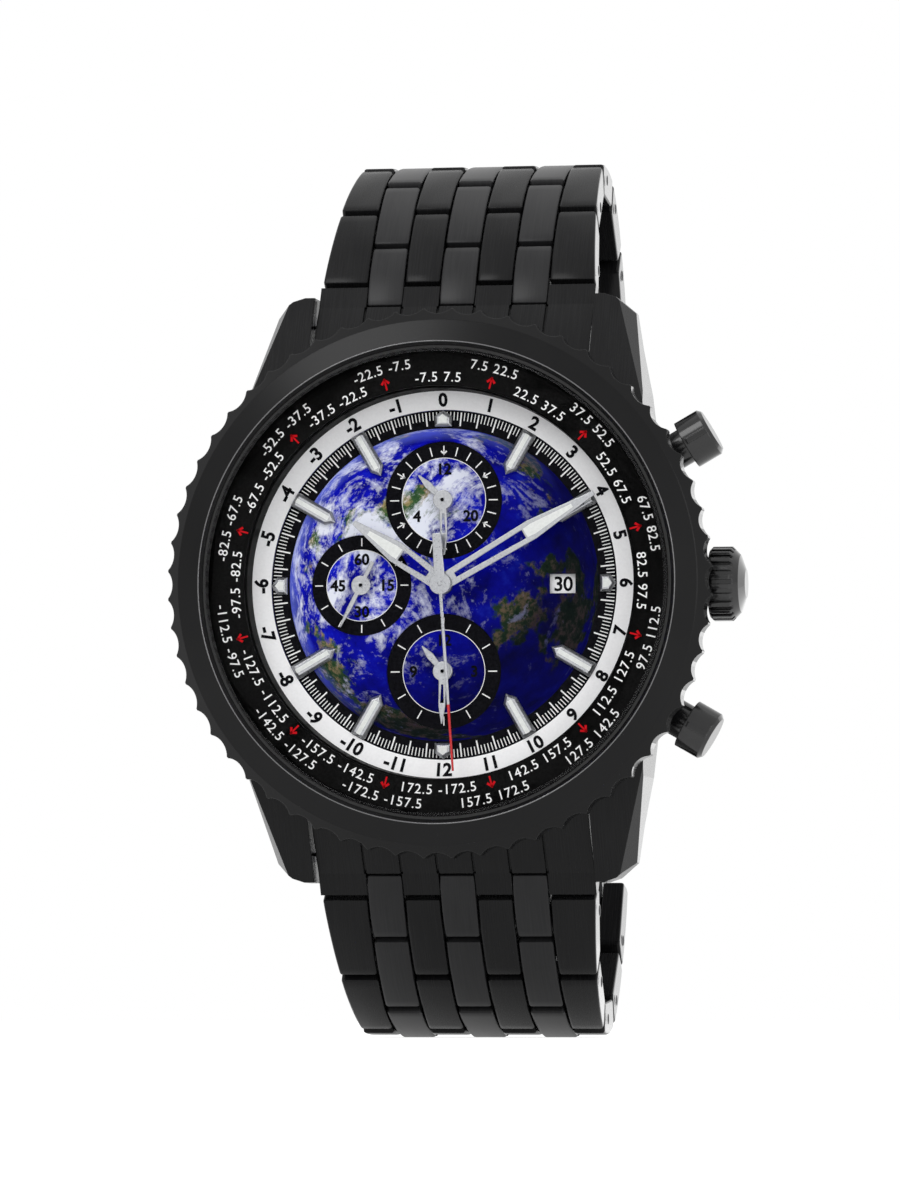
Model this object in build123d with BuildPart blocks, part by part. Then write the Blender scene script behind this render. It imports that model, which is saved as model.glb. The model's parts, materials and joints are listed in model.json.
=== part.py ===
"""World time watch on a seven-column link bracelet, in millimetres.

The dial faces -Y, 12 o'clock is +Z and the crown points along +X. The origin is the centre of the case
back's outer face, on the hands' axis. Heights are measured from that face towards the viewer.
"""

import math
import os

from build123d import *

# Case
barrel_radius = 22.2
barrel_wall = 3.6
barrel_bottom = 0.4
barrel_foot_radius = 21.2
barrel_foot_height = 1.2
shoulder_over_dial = 0.8
collar_height = 1.0
collar_wall = 2.3
lug_reach = 25.9
lug_gap = 25.1
lug_tip_width = 0.85
lug_nose_width = 1.9
lug_nose_inset = 0.35
lug_shoulder_width = 3.5
lug_shoulder_inset = 1.7
lug_bend_x = 17.5
lug_bend_inset = 9.1
lug_root_x = 18.0
lug_root_z = 12.5
lug_top_inset = 11.0
lug_tip_top = 2.2
lug_tip_bottom = -1.2
lug_heel_inset = 5.0
lug_bevel_x = 17.35
lug_bevel_z = 16.7
lug_bevel_drop = 1.0
lug_bevel_turn = 27.2
lug_bevel_lean = 18.6

# Case back and its gasket
back_radius = 19.3
back_flat_radius = 17.0
back_thickness = 1.0
back_edge = 0.5
back_plug_height = 0.6
back_clearance = 0.1
wrench_slots = 6
wrench_slot_width = 3.0
wrench_slot_depth = 0.5
wrench_slot_length = 1.6
gasket_width = 0.5

# Movement, holder and battery
movement_radius = 14.5
movement_height = 4.2
movement_over_plug = 1.0
movement_step_radius = 12.6
movement_step_height = 1.2
holder_clearance = 0.05
battery_radius = 4.75
battery_height = 2.0
battery_offset = 6.5
battery_clearance = 0.1
battery_bevel = 0.2

# Dial, date disc and applied markers
date_space = 0.4
date_disc_thickness = 0.2
date_disc_lift = 0.05
date_radius = 10.5
date_disc_half_width = 1.5
date_window_width = 2.3
date_window_height = 1.7
dial_thickness = 0.4
sunk_depth = 0.12
hour_ring_inner = 15.3
hour_ring_outer = 17.1
hour_ring_lip = 0.1
ring_clearance = 0.15
marker_height = 0.55
marker_bevel = 0.25
marker_length = 4.2
marker_width = 1.3
marker_point = 0.75
house_length = 1.4
house_width = 1.5
house_point = 0.5

# Place ring, crystal and bezel
bezel_gap = 0.2
bezel_running_gap = 0.08
ledge_gap = 0.15
ledge_thickness = 0.45
ledge_width = 0.85
place_ring_thickness = 0.5
crystal_inset = 0.5
crystal_thickness = 1.8
crystal_proud = 0.2
crystal_bevel = 0.3
crystal_gasket_wall = 0.25
crystal_gasket_height = 1.2
bezel_inner_bevel = 0.35
bezel_overhang = 1.8
bezel_crest_inset = 1.1
bezel_crest_drop = 0.55
bezel_edge_drop = 1.5
bezel_foot_bevel = 0.5
scallop_count = 60
scallop_depth = 0.5
scallop_radius = 1.69

# Sub-dials: clock angle from 3 o'clock, distance from the hands' axis, outer radius
top_dial = (90, 7.4, 5.2)
left_dial = (180, 7.3, 4.46)
bottom_dial = (270, 7.6, 5.1)

# Hands and their arbors
arbor_clearance = 0.05
centre_arbor_radius = 0.2
tube_wall = 0.25
arbor_depth = 0.9
hand_thickness = 0.18
small_hand_thickness = 0.14
first_small_hand_lift = 0.25
small_hand_step = 0.28
hub_cap_height = 0.12
first_hand_lift = 1.05
hand_step = 0.4
hour_hand_length = 9.5
minute_hand_length = 15.6
sweep_hand_length = 16.4
sweep_tail_length = 4.4
hand_hub_radius = 0.95
small_hub_radius = 0.85
hour_hand_angle = 305
minute_hand_angle = 60
sweep_hand_angle = 176
small_seconds_angle = 207
small_seconds_length = 4.1
small_seconds_tail = 2.3
local_hour_angle = 315
local_hour_length = 3.1
local_minute_angle = 178
local_minute_length = 4.8
counter_hour_angle = 320
counter_hour_length = 2.9
counter_minute_angle = 181
counter_minute_length = 4.6

# Blades, as shares of the length: widest place, slot from, slot to; and half widths there, at hub, tip and slot
hour_shares = (0.526, 0.158, 0.463)
hour_half_widths = (0.95, 0.75, 0.2, 0.5)
minute_shares = (0.596, 0.096, 0.545)
minute_half_widths = (0.88, 0.7, 0.18, 0.42)
sweep_shares = (0.549, 0, 0)
sweep_half_widths = (0.12, 0.14, 0.08, 0)
sweep_tail_half_width = 0.38
local_minute_shares = (0.667, 0.25, 0.604)
local_minute_half_widths = (0.3, 0.32, 0.05, 0.16)
local_hour_shares = (0.613, 0, 0)
local_hour_half_widths = (0.32, 0.2, 0.06, 0)
small_seconds_shares = (0.537, 0, 0)
small_seconds_half_widths = (0.2, 0.18, 0.06, 0)

# Crown, stem and their tube
crown_gap = 1.0
crown_grip_length = 2.2
crown_radius = 3.25
crown_dome_height = 0.9
crown_dome_radius = 2.5
crown_flutes = 24
flute_depth = 0.28
flute_width = 0.42
crown_recess_room = 0.5
crown_tube_radius = 1.5
crown_tube_engagement = 1.0
crown_travel = 1.2
stem_radius = 0.6
stem_inner_reach = 11.8
stem_seat_depth = 0.5
crown_gasket_length = 0.5
sliding_clearance = 0.05

# Pushers
pusher_angle = 30
pusher_gap = 2.15
pusher_cap_length = 2.55
pusher_cap_radius = 2.2
pusher_cap_bevel = 0.3
pusher_skirt_depth = 1.4
pusher_tube_radius = 1.6
pusher_spring_room = 1.3
pusher_rod_radius = 0.9
pusher_travel = 1.0
pusher_rib_width = 0.5
pusher_rib_height = 0.2
spring_end_gap = 0.03

# Bracelet
end_link_width = 24.7
column_width = 3.25
column_gap = 0.1
clasp_width = 20.0
link_thickness = 3.0
link_crown = 0.35
link_gap = 0.2
pitch = 4.2
first_pitch = 3.3
first_start_reach = 0.9
end_link_eye_reach = 1.1
hinge_pin_radius = 0.45
hinge_clearance = 0.04
pin_seat = 1.5
end_link_pin_inset = 0.4
end_link_pin_depth = 0.6
end_link_slope = 25
end_link_case_gap = 0.2
end_link_root_z = 14.0
end_link_root_height = 8.2
end_link_crest_z = 20.5
end_link_crest_height = 4.5
end_link_slot_reach = 1.05
end_link_underside = 0.3
column_groove_width = 0.25
column_groove_depth = 0.3
spring_bar_radius = 0.75
spring_bar_tip_radius = 0.45
spring_bar_tip_length = 1.2
spring_bar_inset = 2.3
spring_bar_height = 0.6
loop_half_height = 38.0
loop_half_depth = 22.0
upper_rows = 12
lower_rows = 11

# Clasp
clasp_radius = 60.0
cover_wall = 1.1
cover_headroom = 1.8
cover_side_wall = 1.4
cover_side_drop = 1.5
cover_start_gap = 2.4
cover_overhang = 1.5
cover_eye_radius = 1.3
leaf_thickness = 0.9
outer_leaf_level = 0.15
inner_leaf_level = -1.5
leaf_half_width = 7.1
leaf_barrel_radius = 0.95
leaf_pin_radius = 0.5
first_hinge_inset = 4.2
first_hinge_level = 0.6
second_hinge_inset = 4.4
second_hinge_level = -0.3
leaf_side_gap = 0.2
inner_leaf_start_gap = 2.6
inner_leaf_eye_radius = 1.2
tongue_half_width = 3.4
tongue_gap = 0.2
button_radius = 1.3
button_flange_radius = 1.6
button_flange_length = 0.7
button_level = 0.1
button_stand_out = 0.9
button_travel = 0.5
button_clearance = 0.05
button_inner_gap = 0.65

# Heights above the case back's outer face
movement_bottom = back_thickness + back_plug_height + movement_over_plug
movement_top = movement_bottom + movement_height
stem_height = movement_bottom + movement_height / 2
dial_bottom = movement_top + date_space
dial_top = dial_bottom + dial_thickness
barrel_top = dial_top + shoulder_over_dial
collar_top = barrel_top + collar_height
bezel_bottom = barrel_top + bezel_gap
ledge_bottom = collar_top + ledge_gap
place_ring_bottom = ledge_bottom + ledge_thickness
crystal_bottom = place_ring_bottom + place_ring_thickness
bezel_top = crystal_bottom + crystal_thickness - crystal_proud
hour_ring_top = place_ring_bottom - ring_clearance

# Radii that follow from the sizes above
case_bore = barrel_radius - barrel_wall
collar_radius = case_bore + collar_wall
bezel_radius = barrel_radius + bezel_overhang
crystal_radius = collar_radius - crystal_inset
bezel_bore = collar_radius + bezel_running_gap
inner_fit_radius = case_bore - back_clearance
crystal_seat_radius = crystal_radius + crystal_gasket_wall
ledge_radius = crystal_seat_radius - ledge_width
cutting_overrun = 1.0


def level(height):
    """The plane square to the hands' axis at one height, with X to 3 o'clock and Y to 12 o'clock."""
    return Plane(origin=(0, -height, 0), x_dir=(1, 0, 0), z_dir=(0, -1, 0))


def clock_point(angle, distance):
    """A point of the dial from its angle, counted from 3 o'clock towards 12, and its distance."""
    turn = math.radians(angle)
    return distance * math.cos(turn), distance * math.sin(turn)


def turned(corners, mode=Mode.ADD):
    """A body turned about the hands' axis from (radius, height) corners."""
    with BuildSketch(Plane.XY) as section:
        with BuildLine():
            Polyline(*[(radius, -height) for radius, height in corners], close=True)
        make_face()
    revolve(section.sketch, axis=Axis.Y, mode=mode)


def disc(radius, low, high, mode=Mode.ADD, centre=(0, 0), bore=0):
    """A round disc between two heights, with a bore where one is given."""
    with BuildSketch(level(low)) as outline:
        with Locations(centre):
            Circle(radius)
            if bore > 0:
                Circle(bore, mode=Mode.SUBTRACT)
    extrude(outline.sketch, amount=high - low, mode=mode)


def radial_plane(angle):
    """The plane through the stem's height whose local X runs out from the hands' axis at an angle."""
    across, up = clock_point(angle, 1)
    return Plane(origin=(0, -stem_height, 0), x_dir=(across, 0, up), z_dir=(up, 0, -across))


def radial_axis(angle):
    """The line that a crown or pusher at this angle slides along."""
    across, up = clock_point(angle, 1)
    return Axis(origin=(0, -stem_height, 0), direction=(across, 0, up))


def turned_radially(angle, corners, mode=Mode.ADD):
    """A body turned about a crown's or pusher's own axis from (reach, radius) corners."""
    with BuildSketch(radial_plane(angle)) as section:
        with BuildLine():
            Polyline(*corners, close=True)
        make_face()
    revolve(section.sketch, axis=radial_axis(angle), mode=mode)


def keep(piece, name):
    """Label a finished piece and write its file."""
    piece.part.label = name
    export_step(piece.part, f"parts/{name}.step")


os.makedirs("parts", exist_ok=True)

# Middle case: barrel, bezel collar and four lugs that slope down to the bracelet
lug_inner_x = lug_gap / 2
lug_heel_z = lug_reach - lug_heel_inset
spring_bar_z = lug_reach - spring_bar_inset
lug_corners = [
    (lug_inner_x, 0),
    (lug_inner_x, lug_reach),
    (lug_inner_x + lug_tip_width, lug_reach),
    (lug_inner_x + lug_nose_width, lug_reach - lug_nose_inset),
    (lug_inner_x + lug_shoulder_width, lug_reach - lug_shoulder_inset),
    (lug_bend_x, lug_reach - lug_bend_inset),
    (lug_root_x, lug_root_z),
    (lug_root_x, 0),
]
lug_side = [
    (-barrel_top, lug_reach - lug_top_inset),
    (-lug_tip_top, lug_reach),
    (-lug_tip_bottom, lug_reach),
    (-barrel_bottom, lug_heel_z),
]
bevel_across, bevel_up = (
    math.cos(math.radians(lug_bevel_lean)) * share
    for share in clock_point(lug_bevel_turn, 1)
)

with BuildPart() as middle_case:
    with BuildSketch(level(lug_tip_bottom)):
        for side in (1, -1):
            with BuildLine():
                Polyline(*[(side * x, z) for x, z in lug_corners], close=True)
            make_face()
        mirror(about=Plane.XZ)
    extrude(amount=barrel_top - lug_tip_bottom)
    with BuildSketch(Plane.YZ):
        with BuildLine():
            Polyline(*lug_side, *[(y, -z) for y, z in reversed(lug_side)], close=True)
        make_face()
    extrude(amount=bezel_radius, both=True, mode=Mode.INTERSECT)
    for side in (1, -1):
        for end in (1, -1):
            bevel = Plane(
                origin=(side * lug_bevel_x, lug_bevel_drop - barrel_top, end * lug_bevel_z),
                z_dir=(side * bevel_across, -math.sin(math.radians(lug_bevel_lean)), end * bevel_up),
            )
            with BuildSketch(bevel):
                Rectangle(lug_reach, lug_reach)
            extrude(amount=lug_shoulder_width, mode=Mode.SUBTRACT)
    turned(
        [
            (0, barrel_bottom),
            (barrel_foot_radius, barrel_bottom),
            (barrel_radius, barrel_foot_height),
            (barrel_radius, barrel_top),
            (collar_radius, barrel_top),
            (collar_radius, collar_top),
            (0, collar_top),
        ]
    )
    disc(case_bore, back_thickness, collar_top, mode=Mode.SUBTRACT)
    disc(back_radius + back_clearance, lug_tip_bottom, back_thickness, mode=Mode.SUBTRACT)
    for reach_angle, tube_radius in (
        (0, crown_tube_radius),
        (pusher_angle, pusher_tube_radius),
        (-pusher_angle, pusher_tube_radius),
    ):
        turned_radially(
            reach_angle,
            [(0, 0), (bezel_radius, 0), (bezel_radius, tube_radius), (0, tube_radius)],
            mode=Mode.SUBTRACT,
        )
    with BuildSketch(Plane.YZ):
        with Locations((-spring_bar_height, spring_bar_z), (-spring_bar_height, -spring_bar_z)):
            Circle(spring_bar_tip_radius + sliding_clearance)
    extrude(amount=lug_inner_x + spring_bar_tip_length + sliding_clearance, both=True, mode=Mode.SUBTRACT)
keep(middle_case, "middle_case")

# Case back: flat wearing face, chamfered rim with slots for the case wrench, plug inside the case
with BuildPart() as case_back:
    turned(
        [
            (0, 0),
            (back_flat_radius, 0),
            (back_radius, back_edge),
            (back_radius, back_thickness),
            (inner_fit_radius - gasket_width, back_thickness),
            (inner_fit_radius - gasket_width, back_thickness + back_plug_height),
            (0, back_thickness + back_plug_height),
        ]
    )
    with BuildSketch(level(0)):
        with PolarLocations(back_radius, wrench_slots):
            Rectangle(wrench_slot_length * 2, wrench_slot_width)
    extrude(amount=wrench_slot_depth, mode=Mode.SUBTRACT)
keep(case_back, "case_back")

# Case back gasket, square in section, on the shoulder of the plug
with BuildPart() as case_back_gasket:
    disc(
        inner_fit_radius,
        back_thickness,
        back_thickness + gasket_width,
        bore=inner_fit_radius - gasket_width,
    )
keep(case_back_gasket, "case_back_gasket")

# Movement: a stepped plate with a battery well below and seats for the arbors above
battery_centre = (-battery_offset, -battery_offset / 2)
centre_tube_radius = centre_arbor_radius + arbor_clearance + tube_wall
outer_tube_radius = centre_tube_radius + arbor_clearance + tube_wall
centre_seat_radius = outer_tube_radius + arbor_clearance
small_tube_radius = centre_arbor_radius + arbor_clearance + tube_wall
small_seat_radius = small_tube_radius + arbor_clearance
top_centre = clock_point(top_dial[0], top_dial[1])
left_centre = clock_point(left_dial[0], left_dial[1])
bottom_centre = clock_point(bottom_dial[0], bottom_dial[1])
seats = (
    ((0, 0), centre_seat_radius),
    (top_centre, small_seat_radius),
    (bottom_centre, small_seat_radius),
    (left_centre, centre_arbor_radius + arbor_clearance),
)
stem_bore = stem_radius + sliding_clearance

with BuildPart() as movement:
    disc(movement_step_radius, movement_bottom, movement_bottom + movement_step_height)
    disc(movement_radius, movement_bottom + movement_step_height, movement_top)
    disc(
        battery_radius + battery_clearance,
        movement_bottom,
        movement_bottom + battery_height,
        mode=Mode.SUBTRACT,
        centre=battery_centre,
    )
    for seat_centre, seat_radius in seats:
        disc(seat_radius, movement_top - arbor_depth, movement_top, mode=Mode.SUBTRACT, centre=seat_centre)
    turned_radially(
        0,
        [
            (stem_inner_reach - sliding_clearance, 0),
            (bezel_radius, 0),
            (bezel_radius, stem_bore),
            (stem_inner_reach - sliding_clearance, stem_bore),
        ],
        mode=Mode.SUBTRACT,
    )
keep(movement, "movement")

with BuildPart() as battery:
    disc(battery_radius, movement_bottom, movement_bottom + battery_height, centre=battery_centre)
    chamfer(battery.edges().filter_by(GeomType.CIRCLE).group_by(Axis.Y)[-1], battery_bevel)
keep(battery, "battery")

# Movement holder: the plastic ring that centres the movement and carries the dial
holder_bore = movement_radius + holder_clearance
rod_end_reach = holder_bore + (case_bore - holder_bore) / 2
with BuildPart() as movement_holder:
    disc(inner_fit_radius, movement_bottom - movement_over_plug, dial_bottom, bore=holder_bore)
    disc(holder_bore, movement_bottom - movement_over_plug, movement_bottom, bore=movement_step_radius)
    for bore_angle, bore_radius in (
        (0, stem_bore),
        (pusher_angle, pusher_rod_radius + sliding_clearance),
        (-pusher_angle, pusher_rod_radius + sliding_clearance),
    ):
        bore_start = 0 if bore_angle == 0 else rod_end_reach - pusher_travel - sliding_clearance
        turned_radially(
            bore_angle,
            [
                (bore_start, 0),
                (barrel_radius, 0),
                (barrel_radius, bore_radius),
                (bore_start, bore_radius),
            ],
            mode=Mode.SUBTRACT,
        )
keep(movement_holder, "movement_holder")

# Date disc, under the dial, with the window over its middle
with BuildPart() as date_disc:
    disc(
        date_radius + date_disc_half_width,
        movement_top + date_disc_lift,
        movement_top + date_disc_lift + date_disc_thickness,
        bore=date_radius - date_disc_half_width,
    )
keep(date_disc, "date_disc")

# Dial plate with three sunk sub-dials, arbor holes and the date window
with BuildPart() as dial:
    disc(inner_fit_radius, dial_bottom, dial_top)
    for dial_place, dial_centre in (
        (top_dial, top_centre),
        (left_dial, left_centre),
        (bottom_dial, bottom_centre),
    ):
        disc(dial_place[2], dial_top - sunk_depth, dial_top, mode=Mode.SUBTRACT, centre=dial_centre)
    for seat_centre, seat_radius in seats:
        disc(seat_radius, dial_bottom, dial_top, mode=Mode.SUBTRACT, centre=seat_centre)
    with BuildSketch(level(dial_bottom)):
        with Locations((date_radius, 0)):
            Rectangle(date_window_width, date_window_height)
    extrude(amount=dial_thickness, mode=Mode.SUBTRACT)
keep(dial, "dial")

# White 24-hour ring, a sloped flange that stands on the dial's rim
with BuildPart() as hour_ring:
    turned(
        [
            (hour_ring_inner, dial_top),
            (hour_ring_inner, dial_top + hour_ring_lip),
            (hour_ring_outer, hour_ring_top),
            (inner_fit_radius, hour_ring_top),
            (inner_fit_radius, dial_top),
        ]
    )
keep(hour_ring, "hour_ring")

# Applied markers: pointed batons, and small house shapes at 12, 3, 6 and 9
baton_end = hour_ring_inner - sliding_clearance
with BuildPart() as hour_markers:
    with BuildSketch(level(dial_top)):
        for hour_angle in range(0, 360, 30):
            house = hour_angle % 90 == 0
            length = house_length if house else marker_length
            half = (house_width if house else marker_width) / 2
            point = house_point if house else marker_point
            with BuildLine(Plane.XY.rotated((0, 0, hour_angle))):
                if house:
                    Polyline(
                        (baton_end - length, -half),
                        (baton_end - point, -half),
                        (baton_end, 0),
                        (baton_end - point, half),
                        (baton_end - length, half),
                        close=True,
                    )
                else:
                    Polyline(
                        (baton_end, -half),
                        (baton_end, half),
                        (baton_end - length + point, half),
                        (baton_end - length, 0),
                        (baton_end - length + point, -half),
                        close=True,
                    )
            make_face()
    extrude(amount=marker_height)
    chamfer(hour_markers.faces().group_by(Axis.Y)[0].edges(), marker_bevel)
keep(hour_markers, "hour_markers")

# Black place ring on the bezel's ledge, close over the 24-hour ring
with BuildPart() as place_ring:
    disc(
        crystal_seat_radius - sliding_clearance,
        place_ring_bottom,
        crystal_bottom,
        bore=hour_ring_outer + ring_clearance,
    )
keep(place_ring, "place_ring")

with BuildPart() as crystal:
    turned(
        [
            (0, crystal_bottom),
            (crystal_radius, crystal_bottom),
            (crystal_radius, crystal_bottom + crystal_thickness - crystal_bevel),
            (crystal_radius - crystal_bevel, crystal_bottom + crystal_thickness),
            (0, crystal_bottom + crystal_thickness),
        ]
    )
keep(crystal, "crystal")

with BuildPart() as crystal_gasket:
    disc(crystal_seat_radius, crystal_bottom, crystal_bottom + crystal_gasket_height, bore=crystal_radius)
keep(crystal_gasket, "crystal_gasket")

# Bezel: a turned ring that snaps over the collar, with concave scallops round its rim
with BuildPart() as bezel:
    turned(
        [
            (bezel_bore, bezel_bottom),
            (bezel_radius - bezel_foot_bevel, bezel_bottom),
            (bezel_radius, bezel_bottom + bezel_foot_bevel),
            (bezel_radius, bezel_top - bezel_edge_drop),
            (bezel_radius - bezel_crest_inset, bezel_top - bezel_crest_drop),
            (crystal_seat_radius + bezel_inner_bevel, bezel_top),
            (crystal_seat_radius, bezel_top - bezel_inner_bevel),
            (crystal_seat_radius, place_ring_bottom),
            (ledge_radius, place_ring_bottom),
            (ledge_radius, ledge_bottom),
            (bezel_bore, ledge_bottom),
        ]
    )
    with BuildSketch(level(bezel_bottom)):
        with PolarLocations(bezel_radius - scallop_depth + scallop_radius, scallop_count):
            Circle(scallop_radius)
    extrude(amount=bezel_top - bezel_bottom, mode=Mode.SUBTRACT)
keep(bezel, "bezel")


# Hands: flat blades on tubes or arbors that stand in the movement's seats
def hand_frame(angle, centre, height):
    """The plane of a hand whose local Y points along it, angle counted clockwise from 12 o'clock."""
    turn = math.radians(angle)
    return Plane(
        origin=(centre[0], -height, centre[1]),
        x_dir=(math.cos(turn), 0, -math.sin(turn)),
        z_dir=(0, -1, 0),
    )


def hand(length, hub, thickness, frame, shares, half_widths, tail=0):
    """The blade: a kite with an open slot near the hub, and a straight tail where one is given."""
    widest, slot_start, slot_end = (share * length for share in shares)
    belly, root, tip, slot_half = half_widths
    with BuildSketch(frame) as blade:
        with BuildLine():
            Polyline(
                (-root, 0),
                (-belly, widest),
                (-tip, length),
                (tip, length),
                (belly, widest),
                (root, 0),
                close=True,
            )
        make_face()
        Circle(hub)
        if tail > 0:
            with BuildLine():
                Polyline((-root, 0), (-root, -tail), (root, -tail), (root, 0), close=True)
            make_face()
        if slot_end > slot_start:
            with BuildLine():
                Polyline(
                    (-slot_half / 2, slot_start),
                    (-slot_half, slot_end),
                    (slot_half, slot_end),
                    (slot_half / 2, slot_start),
                    close=True,
                )
            make_face(mode=Mode.SUBTRACT)
    extrude(blade.sketch, amount=thickness)


def tube(centre, outer, bore, low, high):
    """The tube or arbor that carries a hand, from its seat up to the hand."""
    if bore > 0:
        disc(bore, low, high + hub_cap_height, mode=Mode.SUBTRACT, centre=centre)
    disc(outer, low, high, centre=centre, bore=bore)


seat_bottom = movement_top - arbor_depth + sliding_clearance
hour_hand_height = dial_top + first_hand_lift
minute_hand_height = hour_hand_height + hand_step
sweep_hand_height = minute_hand_height + hand_step
lower_small_height = dial_top + first_small_hand_lift
upper_small_height = lower_small_height + small_hand_step

with BuildPart() as hour_hand:
    hand(
        hour_hand_length,
        hand_hub_radius,
        hand_thickness,
        hand_frame(hour_hand_angle, (0, 0), hour_hand_height),
        hour_shares,
        hour_half_widths,
    )
    hour_bore = centre_tube_radius + arbor_clearance
    tube((0, 0), outer_tube_radius, hour_bore, seat_bottom, hour_hand_height + hand_thickness)
keep(hour_hand, "hour_hand")

with BuildPart() as minute_hand:
    hand(
        minute_hand_length,
        hand_hub_radius,
        hand_thickness,
        hand_frame(minute_hand_angle, (0, 0), minute_hand_height),
        minute_shares,
        minute_half_widths,
    )
    minute_bore = centre_arbor_radius + arbor_clearance
    tube((0, 0), centre_tube_radius, minute_bore, seat_bottom, minute_hand_height + hand_thickness)
keep(minute_hand, "minute_hand")

with BuildPart() as sweep_hand:
    hand(
        sweep_hand_length,
        hand_hub_radius,
        hand_thickness,
        hand_frame(sweep_hand_angle, (0, 0), sweep_hand_height),
        sweep_shares,
        sweep_half_widths,
    )
    tail_start = hand_hub_radius / 2
    with BuildSketch(hand_frame(sweep_hand_angle, (0, 0), sweep_hand_height)):
        with BuildLine():
            Polyline(
                (-tail_start, 0),
                (-sweep_tail_half_width, -sweep_tail_length),
                (sweep_tail_half_width, -sweep_tail_length),
                (tail_start, 0),
                close=True,
            )
        make_face()
    extrude(amount=hand_thickness)
    tube((0, 0), centre_arbor_radius, 0, seat_bottom, sweep_hand_height + hand_thickness + hub_cap_height)
keep(sweep_hand, "sweep_hand")

with BuildPart() as small_seconds_hand:
    hand(
        small_seconds_length,
        small_hub_radius,
        small_hand_thickness,
        hand_frame(small_seconds_angle, left_centre, lower_small_height),
        small_seconds_shares,
        small_seconds_half_widths,
        tail=small_seconds_tail,
    )
    cap_height = lower_small_height + small_hand_thickness + hub_cap_height
    tube(left_centre, centre_arbor_radius, 0, seat_bottom, cap_height)
keep(small_seconds_hand, "small_seconds_hand")

for pair, pair_centre, hour_angle, hour_length, minute_angle, minute_length in (
    ("local", top_centre, local_hour_angle, local_hour_length, local_minute_angle, local_minute_length),
    (
        "counter",
        bottom_centre,
        counter_hour_angle,
        counter_hour_length,
        counter_minute_angle,
        counter_minute_length,
    ),
):
    with BuildPart() as small_hour_hand:
        hand(
            hour_length,
            small_hub_radius,
            small_hand_thickness,
            hand_frame(hour_angle, pair_centre, lower_small_height),
            local_hour_shares,
            local_hour_half_widths,
        )
        tube(
            pair_centre,
            small_tube_radius,
            centre_arbor_radius + arbor_clearance,
            seat_bottom,
            lower_small_height + small_hand_thickness,
        )
    keep(small_hour_hand, f"{pair}_hour_hand")
    with BuildPart() as small_minute_hand:
        hand(
            minute_length,
            small_hub_radius,
            small_hand_thickness,
            hand_frame(minute_angle, pair_centre, upper_small_height),
            local_minute_shares,
            local_minute_half_widths,
        )
        cap_height = upper_small_height + small_hand_thickness + hub_cap_height
        tube(pair_centre, centre_arbor_radius, 0, seat_bottom, cap_height)
    keep(small_minute_hand, f"{pair}_minute_hand")

# Crown: fluted grip with a polished dome, a recess over the tube and a blind seat for the stem
crown_inner_reach = barrel_radius + crown_gap
crown_outer_reach = crown_inner_reach + crown_grip_length
crown_tube_reach = crown_inner_reach + crown_tube_engagement
crown_recess_radius = crown_tube_radius + gasket_width
crown_recess_end = crown_tube_reach + crown_recess_room
with BuildPart() as crown:
    turned_radially(
        0,
        [
            (crown_inner_reach, 0),
            (crown_inner_reach, crown_radius - flute_depth),
            (crown_inner_reach + flute_depth, crown_radius),
            (crown_outer_reach - flute_depth, crown_radius),
            (crown_outer_reach, crown_radius - flute_depth),
            (crown_outer_reach + crown_dome_height / 2, crown_dome_radius),
            (crown_outer_reach + crown_dome_height, crown_dome_radius / 2),
            (crown_outer_reach + crown_dome_height, 0),
        ],
    )
    turned_radially(
        0,
        [
            (crown_inner_reach, 0),
            (crown_inner_reach, crown_recess_radius),
            (crown_recess_end, crown_recess_radius),
            (crown_recess_end, stem_radius),
            (crown_recess_end + stem_seat_depth, stem_radius),
            (crown_recess_end + stem_seat_depth, 0),
        ],
        mode=Mode.SUBTRACT,
    )
    with BuildSketch(Plane(origin=(crown_inner_reach, -stem_height, 0), z_dir=(1, 0, 0))):
        with PolarLocations(crown_radius, crown_flutes):
            Rectangle(flute_depth * 2, flute_width)
    extrude(amount=crown_grip_length, mode=Mode.SUBTRACT)
keep(crown, "crown")

with BuildPart() as winding_stem:
    stem_end = crown_recess_end + stem_seat_depth
    turned_radially(
        0,
        [(stem_inner_reach, 0), (stem_end, 0), (stem_end, stem_radius), (stem_inner_reach, stem_radius)],
    )
keep(winding_stem, "winding_stem")

with BuildPart() as crown_gasket:
    ring_bore = crown_tube_radius + sliding_clearance
    turned_radially(
        0,
        [
            (crown_inner_reach, ring_bore),
            (crown_inner_reach + crown_gasket_length, ring_bore),
            (crown_inner_reach + crown_gasket_length, crown_recess_radius),
            (crown_inner_reach, crown_recess_radius),
        ],
    )
keep(crown_gasket, "crown_gasket")

# Crown tube and the two pusher tubes, pressed through the case wall
cap_inner_reach = barrel_radius + pusher_gap
skirt_end = cap_inner_reach + pusher_skirt_depth
pusher_tube_reach = skirt_end - pusher_spring_room
with BuildPart() as case_tubes:
    for tube_angle, tube_radius, tube_reach, tube_bore in (
        (0, crown_tube_radius, crown_tube_reach, stem_bore),
        (pusher_angle, pusher_tube_radius, pusher_tube_reach, pusher_rod_radius + sliding_clearance),
        (-pusher_angle, pusher_tube_radius, pusher_tube_reach, pusher_rod_radius + sliding_clearance),
    ):
        turned_radially(
            tube_angle,
            [
                (case_bore + cutting_overrun / 2, tube_bore),
                (tube_reach, tube_bore),
                (tube_reach, tube_radius),
                (case_bore + cutting_overrun / 2, tube_radius),
            ],
        )
keep(case_tubes, "case_tubes")

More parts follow.
